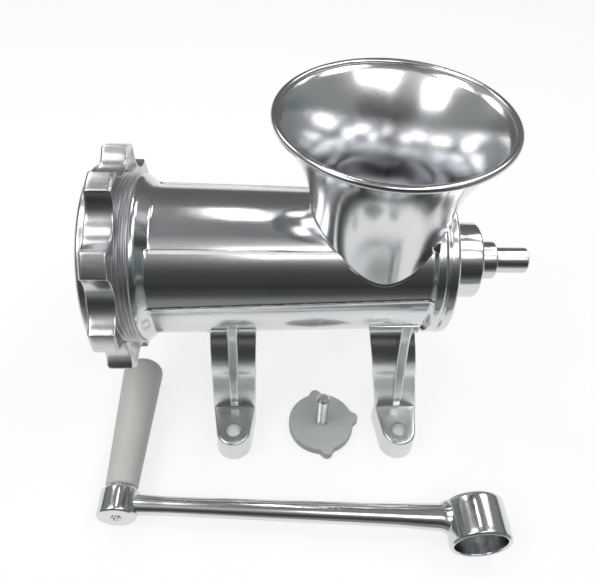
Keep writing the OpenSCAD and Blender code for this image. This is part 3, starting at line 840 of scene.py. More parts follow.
@dataclass
class Hopper(Maker):
    """Flared hopper that grows out of the barrel."""

    x: float = 31.6
    neck_r: float = 37.6
    neck_z: float = 137.5
    wall: float = 4.4
    rim_r: float = 60.3
    rim_z: float = 191.5
    rim_wall: float = 3.6
    lip_r: float = 1.9
    lip_deg: Pair = (-52.0, 205.0)
    below_lip: Pair = (1.4, 2.2)
    flare_z: float = 114.0
    flare_power: float = 2.8
    root_r: float = 38.3
    fillet: float = 0.6

    def wall_radius(self, z: Array) -> Array:
        """Outer radius: neck_r plus a power of the height above flare_z.

        Args:
            z: heights.

        Returns:
            The radius at each height.
        """
        lip_z = self.rim_z - self.lip_r
        mouth_r = self.rim_r - self.lip_r + self.rim_wall / 2
        share = np.maximum(0.0, z - self.flare_z) / (lip_z - self.flare_z)
        return mix(self.neck_r, mouth_r, share**self.flare_power)

    def root(self, radius: float, turn: Array) -> Array:
        """Height of the hidden lower edge, on a cylinder of radius root_r in the barrel's wall."""
        return BARREL_Z + chord(self.root_r, radius * np.sin(turn))

    def build(self, barrel: Barrel) -> None:
        """Makes the hopper as height and angle grids of its outside, lip and inside.

        Outside and inside run between the root and the lip. The outside swells by a fillet where it
        meets the barrel's skin: fillet - sqrt(fillet^2 - (fillet - d)^2) at height d above it.

        Args:
            barrel: barrel that the hopper stands on.
        """
        turn = angles(240)[None, :]
        share = np.linspace(0.0, 1.0, 70)[:, None]
        lip_z, lip_at = self.rim_z - self.lip_r, self.rim_r - self.lip_r
        out_z, in_z = (lip_z - below for below in self.below_lip)
        lower = mix(self.root(self.neck_r, turn), self.neck_z, share)
        upper = mix(self.neck_z, out_z, share[1:])
        z_out = np.concatenate([lower, np.broadcast_to(upper, (len(upper), turn.shape[1]))])
        r_out = self.wall_radius(z_out)
        skin_r = barrel.taper(self.x + r_out * np.cos(turn))
        skin_z = BARREL_Z + chord(skin_r, r_out * np.sin(turn))
        d = np.clip(z_out - skin_z + self.fillet, 0.0, self.fillet)
        r_out = r_out + self.fillet - chord(self.fillet, self.fillet - d)
        bead = np.radians(np.linspace(*self.lip_deg, 22))[:, None] + 0.0 * turn
        z_lip, r_lip = lip_z + self.lip_r * np.sin(bead), lip_at + self.lip_r * np.cos(bead)
        low_in = self.root(self.neck_r - self.wall, turn)
        z_in = mix(in_z, low_in, np.linspace(0.0, 1.0, 90)[:, None])
        r_in = self.wall_radius(z_in) - mix(self.wall, self.rim_wall, ease(z_in, self.neck_z, lip_z))
        z = np.concatenate([z_out, z_lip, z_in])
        r = np.concatenate([r_out, r_lip, r_in])
        grid = Patch(upright(self.x).points(z, r, turn), True, True)
        piece = self.bench.make("grinder_hopper", [grid], POLISHED_CASTING, Body.HOUSING, Slot.ALUMINIUM,
                                ["casting_neck", "casting_hopper"], 60.0)
        x, y, z = self.bench.middles(piece)
        inside = np.hypot(x - self.x, y) < self.wall_radius(z) - self.rim_wall / 2
        # Below the lip the inside gets the lighter colour that paints light into the hopper.
        self.bench.refinish(piece, INNER_PAINTED_LIGHT_CASTING, inside & (z < in_z))


@dataclass
class Leg(Maker):
    """One bowed leg with its rib, shelf and foot pad."""

    name: str
    node: str
    hole_x: float
    side: int
    lean: float
    hole_y: float = 66.9
    hole_r: float = 4.2
    hole_edge: float = 0.5
    pad_h: float = 16.6
    pad_top: float = 5.0
    pad_wall: float = 3.8
    pad_round: float = 1.6
    pad_draft: float = 0.3
    pad_corner: float = 1.5
    pocket_ease: Pair = (0.3, 1.2)
    pad_end_r: float = 10.2
    pad_half_w: float = 12.8
    bend_out: float = 50.5
    strap_t: float = 5.6
    top_z: float = 78.0
    strap_w: Pair = (27.6, 25.6)
    strap_power: float = 14.0
    rib_w: Pair = (7.4, 4.4)
    rib_power: float = 5.0
    rib_sink: float = 2.0
    rib_least: float = 1.0
    root_r: float = 37.2
    shelf_w: float = 28.0
    shelf_round: float = 1.2
    shelf_ends: Sequence[float] = (0.0, 0.0, 0.6, 0.9, 1.0)
    shelf_inset: Sequence[float] = (0.0, 0.9, 0.97, 0.99, 1.0)
    shelf_section: Sequence[Corner] = (
        (28.0, 71.0, 0.8), (36.6, 71.4, 1.4), (37.6, 74.2, 1.4), (37.2, 77.8, 1.2), (32.6, 77.8, 0.8))
    face: Sequence[Pair] = (
        (30.2, 69.8), (30.5, 67.6), (32.2, 62.6), (36.3, 57.2), (40.2, 49.4), (41.9, 43.5), (42.7, 38.5),
        (44.4, 33.4), (47.6, 25.5), (50.6, 16.8), (51.4, 10.0))
    rib_edge: Sequence[Pair] = (
        (37.6, 77.4), (38.4, 71.0), (39.4, 63.5), (42.9, 49.2), (47.6, 36.0), (51.4, 25.0), (51.4, 19.0))

    def rise(self, z: Array) -> Array:
        """Share of the way up from the pad to the leg's upper end."""
        return np.clip((z - self.pad_h) / (self.top_z - self.pad_h), 0.0, 1.1)

    def place(self, x: Array, out: Array, z: Array) -> Array:
        """Points from a station about the hole, a distance out of the middle plane and a height.

        Args:
            x: distance along the barrel from the bolt hole.
            out: distance from the barrel's middle plane.
            z: height.

        Returns:
            Points with a last axis of 3, sheared so that the upper end leans towards the mouth.
        """
        x, out, z = np.broadcast_arrays(x, out, z)
        return np.stack([self.hole_x + x - self.lean * self.rise(z), self.side * out, z], -1)

    def bar(self, outer: Array, inner: Array, widths: Pair, power: float, back: float = 0.0) -> Patch:
        """Bar between two lines, with a superellipse section.

        The section is x = w / 2 * cos^(2 / power) and, across, the middle of the two lines plus half
        their distance times sin^(2 / power). Both ends shrink to a point.

        Args:
            outer: (out, z) points of the outer line.
            inner: (out, z) points of the inner line.
            widths: width at the first and the last point.
            power: squareness of the section.
            back: how far the upper end stands back along the barrel.

        Returns:
            The closed grid.
        """
        v = np.linspace(0.0, TURN, 64, endpoint=False)[None, :]
        c, s = (np.sign(wave) * np.abs(wave) ** (2.0 / power) for wave in (np.cos(v), np.sin(v)))
        width = mix(*widths, np.linspace(0.0, 1.0, len(outer)))
        repeat = np.concatenate([[0], np.arange(len(outer)), [len(outer) - 1]])
        outer, inner, width = outer[repeat], inner[repeat], width[repeat]
        shrink = np.concatenate([[0.0], np.ones(len(outer) - 2), [0.0]])[:, None]
        middle, half = 0.5 * (outer + inner), 0.5 * (outer - inner)
        x = 0.5 * width[:, None] * c * shrink + back * self.rise(middle[:, 1:])
        out = middle[:, :1] + half[:, :1] * s * shrink
        z = middle[:, 1:] + half[:, 1:] * s * shrink
        return Patch(self.place(x, out, z), False, True)

    def strap(self) -> Patch:
        """Bowed plate: its outer face follows the face line, its inner one lies strap_t behind.

        Returns:
            The closed grid.
        """
        outer = smooth_line(self.face, 70)
        run = unit(np.gradient(outer, axis=0))
        inner = outer + self.strap_t * np.stack([run[:, 1], -run[:, 0]], -1)
        return self.bar(outer, inner, self.strap_w, self.strap_power)

    def rib(self) -> Patch:
        """Rib down the strap, upright while the strap leans, and narrower towards the foot.

        Its root lies rib_sink behind the strap's face, and outside root_r about the barrel axis, so
        that it ends in the barrel's wall.

        Returns:
            The closed grid.
        """
        outer = smooth_line(self.rib_edge, 60)
        plate = smooth_line(self.face, 200)
        low = outer[:, 1] - self.rib_least
        root = np.interp(-outer[:, 1], -plate[:, 1], plate[:, 0]) - self.rib_sink
        root = np.maximum(root, chord(self.root_r, low - BARREL_Z))
        inner = np.stack([np.minimum(root, outer[:, 0] - self.rib_least), low], -1)
        return self.bar(outer, inner, self.rib_w, self.rib_power, self.lean)

    def shelf(self) -> Patch:
        """Shelf along the barrel's flank: a rounded section carried along the barrel.

        Both ends shrink by the corner radius, so that the shelf's ends are rounded too.

        Returns:
            The closed grid.
        """
        half = 0.5 * self.shelf_w - self.shelf_round * (1.0 - np.array(self.shelf_ends))
        inset = np.array(self.shelf_inset)
        station = np.concatenate([-half, half[::-1]])[:, None]
        grow = np.concatenate([inset, inset[::-1]])[:, None]
        out, z = grown(rounded_line(self.shelf_section, closed=True), grow)
        return Patch(self.place(station, out, z), False, True)

    def plan(self, psi: Array) -> Array:
        """Reach of the pad's plan from its bolt hole.

        The plan is the hull of the round end and the back edge, read as a radius for each angle.

        Args:
            psi: angles about the hole.

        Returns:
            The reach at each angle.
        """
        w, bend_y = self.pad_half_w, self.hole_y - self.bend_out
        back = bend_y + self.strap_t
        round_r = self.pad_corner
        edge = rounded_line([(-w, 0.0), (-w, back, round_r), (w, back, round_r), (w, 0.0)])[1:-1]
        tangent = math.atan2(bend_y, w) - math.acos(self.pad_end_r / math.hypot(w, bend_y))
        arc = np.linspace(tangent, -math.pi - tangent, 50)
        round_end = self.pad_end_r * np.stack([np.cos(arc), np.sin(arc)], -1)
        bend = np.array([[w, bend_y]])
        loop = np.concatenate([edge, bend, round_end, bend * [-1.0, 1.0]])
        loop = densified(np.concatenate([loop, loop[:1]]), 1.0)[:-1]
        turn = np.arctan2(loop[:, 1], loop[:, 0])
        order = np.argsort(turn)
        return np.interp(psi, turn[order], np.hypot(loop[order, 0], loop[order, 1]), period=TURN)

    def pad(self) -> Patch:
        """Foot pad as rings about its bolt hole, hollow below.

        The rings run up the hole, over the top and its rounded edge, down the skirt, under the rim
        and through the pocket back to the hole's boss.

        Returns:
            The closed grid.
        """
        psi = np.linspace(-math.pi, math.pi, 144, endpoint=False)
        reach = self.plan(psi)[None, :]
        boss_r = self.hole_r + self.pad_wall
        inner = np.maximum(reach - self.pad_wall, boss_r)
        depth = (self.pad_h - self.pad_top) * ease(inner - boss_r, *self.pocket_ease)
        hole, boss = np.full_like(reach, self.hole_r), np.full_like(reach, boss_r)
        flat = np.zeros_like(reach)
        top = flat + self.pad_h
        bevel = np.radians(np.linspace(90.0, 0.0, 7))[:, None]
        edge_r = reach - self.pad_round + self.pad_round * np.cos(bevel)
        edge_z = self.pad_h - self.pad_round + self.pad_round * np.sin(bevel) + flat
        r = np.concatenate([hole, hole, hole + self.hole_edge, 0.5 * (hole + reach), edge_r,
                            reach + self.pad_draft, inner, inner, boss, boss])
        z = np.concatenate([flat, top - self.hole_edge, top, top, edge_z, flat, flat, depth, depth, flat])
        return Patch(self.place(r * np.cos(psi), self.hole_y - r * np.sin(psi), z), True, True)

    def build(self) -> None:
        """Makes the leg from its four forms."""
        # The legs' darker finish paints shade on them.
        self.bench.make(self.name, [self.strap(), self.rib(), self.shelf(), self.pad()],
                        LEG_PAINTED_SHADE_CASTING, Body.HOUSING, Slot.ALUMINIUM, [self.node])


@dataclass
class RingNut(Maker):
    """Lobed ring nut that holds the plate in the mouth."""

    front_x: float = -121.0
    back_x: float = -105.4
    lip_x: float = -117.0
    outer_r: float = 64.5
    root_r: float = 54.0
    open_r: float = 36.0
    bore_r: float = 49.3
    rim_r: float = 53.4
    rim_out: float = 4.6
    mouth_r: float = 42.0
    dish: float = 6.0
    lobes: int = 9
    crown_deg: float = 6.0
    crown_blend: float = 0.5
    first_deg: float = 11.0

    def reach(self, angle: Array) -> Array:
        """Radius of the outline: crowns of outer_r with scallop circles between them.

        A scallop circle of radius s at distance D stands at D cos(d) - sqrt(s^2 - D^2 sin(d)^2) at
        angle d from its middle, and a rounded minimum joins it to the crown.

        Args:
            angle: angles from the top.

        Returns:
            The radius at each angle.
        """
        step = TURN / self.lobes
        half = 0.5 * step - math.radians(self.crown_deg)
        far = (self.outer_r**2 - self.root_r**2) / (2 * (self.outer_r * math.cos(half) - self.root_r))
        off = (angle - math.radians(self.first_deg)) % step - 0.5 * step
        dip = chord(far - self.root_r, far * np.sin(off))
        scallop = np.where(dip > 0.0, far * np.cos(off) - dip, self.outer_r + 20.0)
        return soft_min(scallop, np.full_like(scallop, self.outer_r), self.crown_blend)

    def build(self) -> None:
        """Makes the nut: a turned outline whose outer points follow reach(angle).

        In front of the lobes stands a round rim, and behind them the back is dished to the bore.
        """
        turn = angles(900)

        def lobed(station: Array, radius: Array) -> Array:
            """Radius that follows the lobes beyond the rim in front and beyond the bore behind."""
            base = np.where(station < 0.5 * (self.front_x + self.back_x), self.rim_r, self.bore_r) + 0.1
            share = np.clip((radius - base) / (self.outer_r - base), 0.0, None)
            return np.where(radius > base, mix(base, self.reach(turn)[None, :], share), radius)

        grid = BARREL_AXIS.lathe([
            (self.front_x - self.rim_out, self.mouth_r, 0.8),
            (self.front_x - self.rim_out, self.rim_r, 2.2), (self.front_x, self.rim_r, 0.3),
            (self.front_x + 0.6, self.outer_r, 2.4), (self.back_x - 0.4, self.outer_r, 1.1),
            (self.back_x - self.dish, self.bore_r, 0.4), (self.lip_x, self.bore_r, 0.4),
            (self.lip_x, self.open_r, 0.6),
        ], turn, 1.6, True, shape=lobed)
        self.bench.make("lobed_ring_nut", [grid], SATIN_CASTING, Body.NUT, Slot.ALUMINIUM, ["ring_nut"], 50.0)


@dataclass
class FeedScrew(Maker):
    """Auger and the stepped tail shaft that turns it."""

    front_x: float = -100.4
    end_x: float = 61.3
    core_r: float = 14.5
    spigot_r: float = 8.0
    spigot: float = 26.0
    flight_r: float = 34.8
    flight_end_x: float = 57.3
    flight_root: float = 0.6
    lead: float = 44.0
    flight_t: float = 6.0
    journal_r: float = 11.6
    journal_end_x: float = 92.4
    step_r: float = 11.2
    step_end_x: float = 103.4
    tail_r: float = 7.6
    tail_end_x: float = 123.7
    tail_edge: float = 1.0
    flat_out: float = 6.1
    flat_len: float = 9.2
    tap_r: float = 3.375
    tap_edge: float = 0.7
    tap_depth: float = 22.0

    def core(self) -> None:
        """Makes the core: a turned tube with a seat for a shaft at each end."""
        front_seat, rear_seat = self.front_x + self.spigot, self.end_x - self.spigot
        grid = BARREL_AXIS.lathe([
            (front_seat, 0.0), (front_seat, self.spigot_r), (self.front_x, self.spigot_r),
            (self.front_x, self.core_r, 0.8), (self.end_x, self.core_r, 0.8),
            (self.end_x, self.spigot_r), (rear_seat, self.spigot_r), (rear_seat, 0.0),
        ], angles(96), 8.0)
        self.bench.make("feed_screw_core", [grid], ROUGH_CASTING, Body.AUGER, Slot.ALUMINIUM, ["auger_core"])

    def flight(self) -> None:
        """Makes the flight: a tapered section carried along a helix of one lead a turn.

        The section runs from inside the core, twice as thick as the tip, to the tip's rounded edge.
        Its place is x = front + t + offset at the angle pi - turn * t / lead, kept between the ends.
        """
        root_r = self.core_r - self.flight_root
        section = densified(rounded_line([
            (-self.flight_t, root_r), (-0.5 * self.flight_t, self.flight_r, 1.2),
            (0.5 * self.flight_t, self.flight_r, 1.2), (self.flight_t, root_r),
        ]), 3.0)
        t = np.linspace(0.0, self.flight_end_x - self.front_x, 420)[:, None]
        t = np.concatenate([t[:1], t, t[-1:]])
        grow = np.ones_like(t)
        grow[[0, -1]] = 0.0
        across, radius = grown(section, grow)
        x = np.clip(self.front_x + t + across, self.front_x, self.flight_end_x)
        grid = Patch(BARREL_AXIS.points(x, radius, math.pi - TURN * t / self.lead), False, True)
        self.bench.make("feed_screw_flight", [grid], ROUGH_CASTING, Body.AUGER, Slot.ALUMINIUM,
                        ["auger_flight"])

    def tail(self) -> None:
        """Makes the tail shaft: a turned line whose tip is cut by a flat below."""
        seat, flat_x = self.end_x - self.spigot, self.tail_end_x - self.flat_len
        tap_end = self.tail_end_x - self.tap_depth
        turn, reach = flat_cut(self.flat_out, self.tail_r, 120, 180.0)

        def flatted(station: Array, radius: Array) -> Array:
            """Radius cut by the flat on the outside of the tip."""
            tip = (station > flat_x) & (radius > self.tap_r + 0.8)
            return np.where(tip, np.minimum(radius, reach), radius)

        grid = BARREL_AXIS.lathe([
            (seat, 0.0), (seat, self.spigot_r, 0.6), (self.end_x, self.spigot_r),
            (self.end_x, self.journal_r, 0.3), (self.journal_end_x, self.journal_r, 0.2),
            (self.journal_end_x, self.step_r), (self.step_end_x, self.step_r, 0.9),
            (self.step_end_x, self.tail_r, 0.5), (flat_x - 0.05, self.tail_r),
            (flat_x + 0.05, self.tail_r), (self.tail_end_x - self.tail_edge, self.tail_r, 0.3),
            (self.tail_end_x, self.tail_r - self.tail_edge, 0.2),
            (self.tail_end_x, self.tap_r + self.tap_edge),
            (self.tail_end_x - self.tap_edge, self.tap_r), (tap_end, self.tap_r),
            (tap_end - 2.0, 0.0),
        ], turn, 4.0, shape=flatted)
        self.bench.make("stepped_tail_shaft", [grid], TURNED_STEEL, Body.AUGER, Slot.STEEL,
                        ["tail_shaft"], 30.0)

    def build(self) -> None:
        """Makes the core, the flight and the tail shaft."""
        self.core()
        self.flight()
        self.tail()


@dataclass
class Crank(Maker):
    """Crank with its hub, arm and grip, lying in front of the grinder."""

    hub_x: float = 84.5
    hub_z: float = 16.9
    hub_r: float = 16.9
    hub_near: float = -137.6
    hub_far: float = -113.6
    socket_r: float = 14.2
    web: float = 9.4
    eye_r: float = 7.7
    eye_flat: float = 6.2
    grip_x: float = -111.8
    grip_z: float = 12.6
    boss_r: float = 10.9
    boss_near: float = -118.8
    boss_far: float = -103.6
    pin_hole_r: float = 3.0
    arm_y: Pair = (-111.2, -122.0)
    arm_r: Pair = (5.2, 6.6)
    arm_oval: float = 0.96
    arm_sink: Pair = (1.6, 1.4)
    boss_flare: Pair = (0.6, 0.12)
    hub_flare: Pair = (0.9, 0.8)
    hub_fillet: Pair = (2.0, 0.965)
    pin_r: float = 4.0
    snap_r: float = 5.2
    snap: float = 4.0
    snap_room: float = 0.3
    pin_end: float = -40.0
    grip_start: float = -101.7
    grip_len: float = 86.0
    grip_r: Pair = (9.0, 12.4)
    grip_room: float = 0.05

    def hub(self) -> Patch:
        """Hub: a turned cup with rounded edges, whose web has a hole with one flat above.

        Returns:
            The closed grid.
        """
        web_y = self.hub_far - self.web
        turn, reach = flat_cut(self.eye_flat, self.eye_r, 144, 0.0)

        def flatted(station: Array, radius: Array) -> Array:
            """Radius cut by the flat in the web's hole."""
            cut = np.minimum(radius, reach + radius - self.eye_r)
            return np.where(radius < self.eye_r + 0.7, cut, radius)

        return crosswise(self.hub_x, self.hub_z).lathe([
            (self.hub_near, self.socket_r, 1.0), (self.hub_near, self.hub_r, 1.6),
            (self.hub_far, self.hub_r, 3.2), (self.hub_far, self.eye_r, 0.6),
            (web_y, self.eye_r, 0.6), (web_y, self.socket_r, 1.2),
        ], turn, 3.0, True, shape=flatted)

    def boss(self) -> Patch:
        """Grip boss: a turned ring with rounded edges."""
        return crosswise(self.grip_x, self.grip_z).lathe([
            (self.boss_near, self.pin_hole_r, 0.3), (self.boss_near, self.boss_r, 1.5),
            (self.boss_far, self.boss_r, 1.8), (self.boss_far, self.pin_hole_r, 0.3),
        ], angles(96), 3.0, True)

    def arm(self) -> Patch:
        """Arm: an oval section carried from the boss to the hub, flared at both ends.

        At share t the section is y + r cos(v) and z + r sin(v), with r between the two arm radii plus
        eased flares. Both ends lie on cylinders just inside the boss and the hub.

        Returns:
            The closed grid.
        """
        t = np.linspace(0.0, 1.0, 150)[:, None]
        v = np.linspace(0.0, TURN, 72, endpoint=False)[None, :]
        r = mix(*self.arm_r, t) + self.boss_flare[0] * (1.0 - ease(t, 0.0, self.boss_flare[1]))
        r = r + self.hub_flare[0] * ease(t, self.hub_flare[1], 1.0)
        r = r + self.hub_fillet[0] * ease(t, self.hub_fillet[1], 1.0) ** 2
        y = mix(*self.arm_y, t) + self.arm_oval * r * np.cos(v)
        z = mix(self.grip_z, self.hub_z, t) + r * np.sin(v)
        start = self.grip_x + chord(self.boss_r - self.arm_sink[0], z - self.grip_z, 4.0)
        stop = self.hub_x - chord(self.hub_r - self.arm_sink[1], z - self.hub_z, 4.0)
        grid = np.stack([mix(start, stop, t), y, z], -1)
        caps = [np.broadcast_to(grid[i].mean(0), (1, *grid.shape[1:])) for i in (0, -1)]
        return Patch(np.concatenate([caps[0], grid, caps[1]]), False, True)

    def pin(self) -> None:
        """Makes the grip pin, with a countersunk end in the boss."""
        grid = crosswise(self.grip_x, self.grip_z).lathe([
            (self.boss_near + 1.6, 0.0), (self.boss_near + 1.4, 1.1, 0.2),
            (self.boss_near - 0.5, 1.7, 0.3), (self.boss_near - 0.6, self.pin_hole_r, 0.4),
            (self.boss_far, self.pin_hole_r), (self.boss_far, self.pin_r),
            (self.pin_end - self.snap, self.pin_r), (self.pin_end - self.snap, self.snap_r, 0.4),
            (self.pin_end, self.snap_r, 0.8), (self.pin_end, 0.0),
        ], angles(64), 4.0)
        self.bench.make("grip_pin_rod", [grid], TURNED_STEEL, Body.HOUSING, Slot.STEEL, ["grip_pin"])

    def grip(self) -> None:
        """Makes the grip: a turned taper with a domed tip, bored for the pin."""
        tip = self.grip_start + self.grip_len
        room, bore_r = self.snap_room, self.pin_r + self.grip_room
        grid = crosswise(self.grip_x, self.grip_z).lathe([
            (self.pin_end + room, 0.0), (self.pin_end + room, self.snap_r + room),
            (self.pin_end - self.snap - room, self.snap_r + room),
            (self.pin_end - self.snap - room, bore_r), (self.grip_start, bore_r),
            (self.grip_start, self.grip_r[0], 1.5), (tip - 7.0, self.grip_r[1], 24.0),
            (tip - 0.6, self.grip_r[1] - 0.5, 6.0), (tip, 0.0),
        ], angles(96), 2.5, steps=10)
        self.bench.make("crank_grip", [grid], GRIP_PLASTIC, Body.GRIP, Slot.PLASTIC, ["grip"])

    def build(self) -> None:
        """Makes the crank casting, the grip pin and the grip."""
        self.bench.make("crank_casting", [self.hub(), self.boss(), self.arm()], POLISHED_CASTING,
                        Body.HOUSING, Slot.ALUMINIUM, ["crank_hub", "crank_bar", "crank_boss"])
        self.pin()
        self.grip()


@dataclass
class ThumbScrew(Maker):
    """Thumb screw that lies head down in front of the grinder."""

    x: float = 3.9
    y: float = -54.6
    head_r: float = 20.3
    head_t: float = 7.2
    lobe_out: float = 3.4
    lobe_half_w: float = 3.3
    lobes_deg: Triple = (98.0, 8.0, -82.0)
    lobe_rim: Pair = (0.8, 0.93)
    stud_r: float = 4.0
    stud_base: float = 2.0
    stud_top: float = 32.2
    insert_r: float = 6.0
    insert_h: float = 3.0
    room: float = 0.02
    pitch: float = 1.25
    groove_depth: float = 0.5
    groove_flank: Pair = (0.25, 0.95)
    groove_start: Pair = (1.2, 3.5)
    groove_stop: Pair = (1.4, 0.9)

    def head(self) -> None:
        """Makes the head: a turned disc whose rim swells into three lobes.

        The lobes add lobe_out * exp(-|arc / lobe_half_w|^3), where arc is the distance round the rim.
        """
        turn = angles(360)
        arcs = [((turn - math.radians(d) + math.pi) % TURN - math.pi) * self.head_r for d in self.lobes_deg]
        swell = self.lobe_out * sum(np.exp(-np.abs(arc / self.lobe_half_w) ** 3) for arc in arcs)
        low, high = (share * self.head_r for share in self.lobe_rim)
        seat, insert_top = self.stud_base, self.stud_base + self.insert_h

        def lobed(station: Array, radius: Array) -> Array:
            """Radius whose outer part swells into the lobes."""
            return radius + ease(radius, low, high) * swell[None, :]

        grid = upright(self.x, self.y).lathe([
            (seat, 0.0), (seat, self.insert_r), (insert_top, self.insert_r),
            (insert_top, self.stud_r + self.room), (self.head_t - 0.1, self.stud_r + self.room),
            (self.head_t, self.head_r * 0.6, 3.0), (self.head_t - 0.15, self.head_r, 1.3),
            (0.0, self.head_r, 1.6), (0.0, 0.0),
        ], turn, 1.5, shape=lobed)
        self.bench.make("thumb_screw_disc", [grid], HEAD_PLASTIC, Body.HOUSING, Slot.PLASTIC,
                        ["thumb_screw_head"])

    def stud(self) -> None:
        """Makes the stud: a turned rod with a helical groove of one pitch a turn.

        The groove's depth is a bell of the fraction of z / pitch - angle / turn, faded at both ends.
        """
        turn = angles(72)
        insert_r, insert_top = self.insert_r - self.room, self.stud_base + self.insert_h - self.room

        def threaded(station: Array, radius: Array) -> Array:
            """Radius less the groove."""
            groove = ease(zigzag(station / self.pitch - turn[None, :] / TURN), *self.groove_flank)
            fade_in = ease(station, *(self.head_t + start for start in self.groove_start))
            fade_out = 1.0 - ease(station, *(self.stud_top - stop for stop in self.groove_stop))
            return radius - self.groove_depth * groove * (fade_in * fade_out)

        grid = upright(self.x, self.y).lathe([
            (self.stud_base, 0.0), (self.stud_base, insert_r), (insert_top, insert_r),
            (insert_top, self.stud_r), (self.stud_top - 1.2, self.stud_r, 0.3),
            (self.stud_top, self.stud_r - 1.1, 0.3), (self.stud_top, 0.0),
        ], turn, 0.14, shape=threaded)
        self.bench.make("thumb_screw_rod", [grid], ZINC_PLATE, Body.HOUSING, Slot.STEEL, ["thumb_screw_stud"])

    def build(self) -> None:
        """Makes the head and the stud."""
        self.head()
        self.stud()


@dataclass(frozen=True)
class SoftBox:
    """A rectangular studio lamp that points at the object."""

    name: str
    place: Triple
    size: Pair
    level: float

    def build(self, target: Vector) -> None:
        """Adds the lamp. Its power is pi * area * level, so that its face has that brightness.

        Args:
            target: point that it faces.
        """
        data = bpy.data.lights.new(self.name, "AREA")
        data.shape, data.size, data.size_y = "RECTANGLE", *self.size
        data.energy = math.pi * self.size[0] * self.size[1] * self.level
        lamp = add_object(self.name, data)
        lamp.location = self.place
        lamp.rotation_euler = (Vector(self.place) - target).to_track_quat("Z", "X").to_euler()


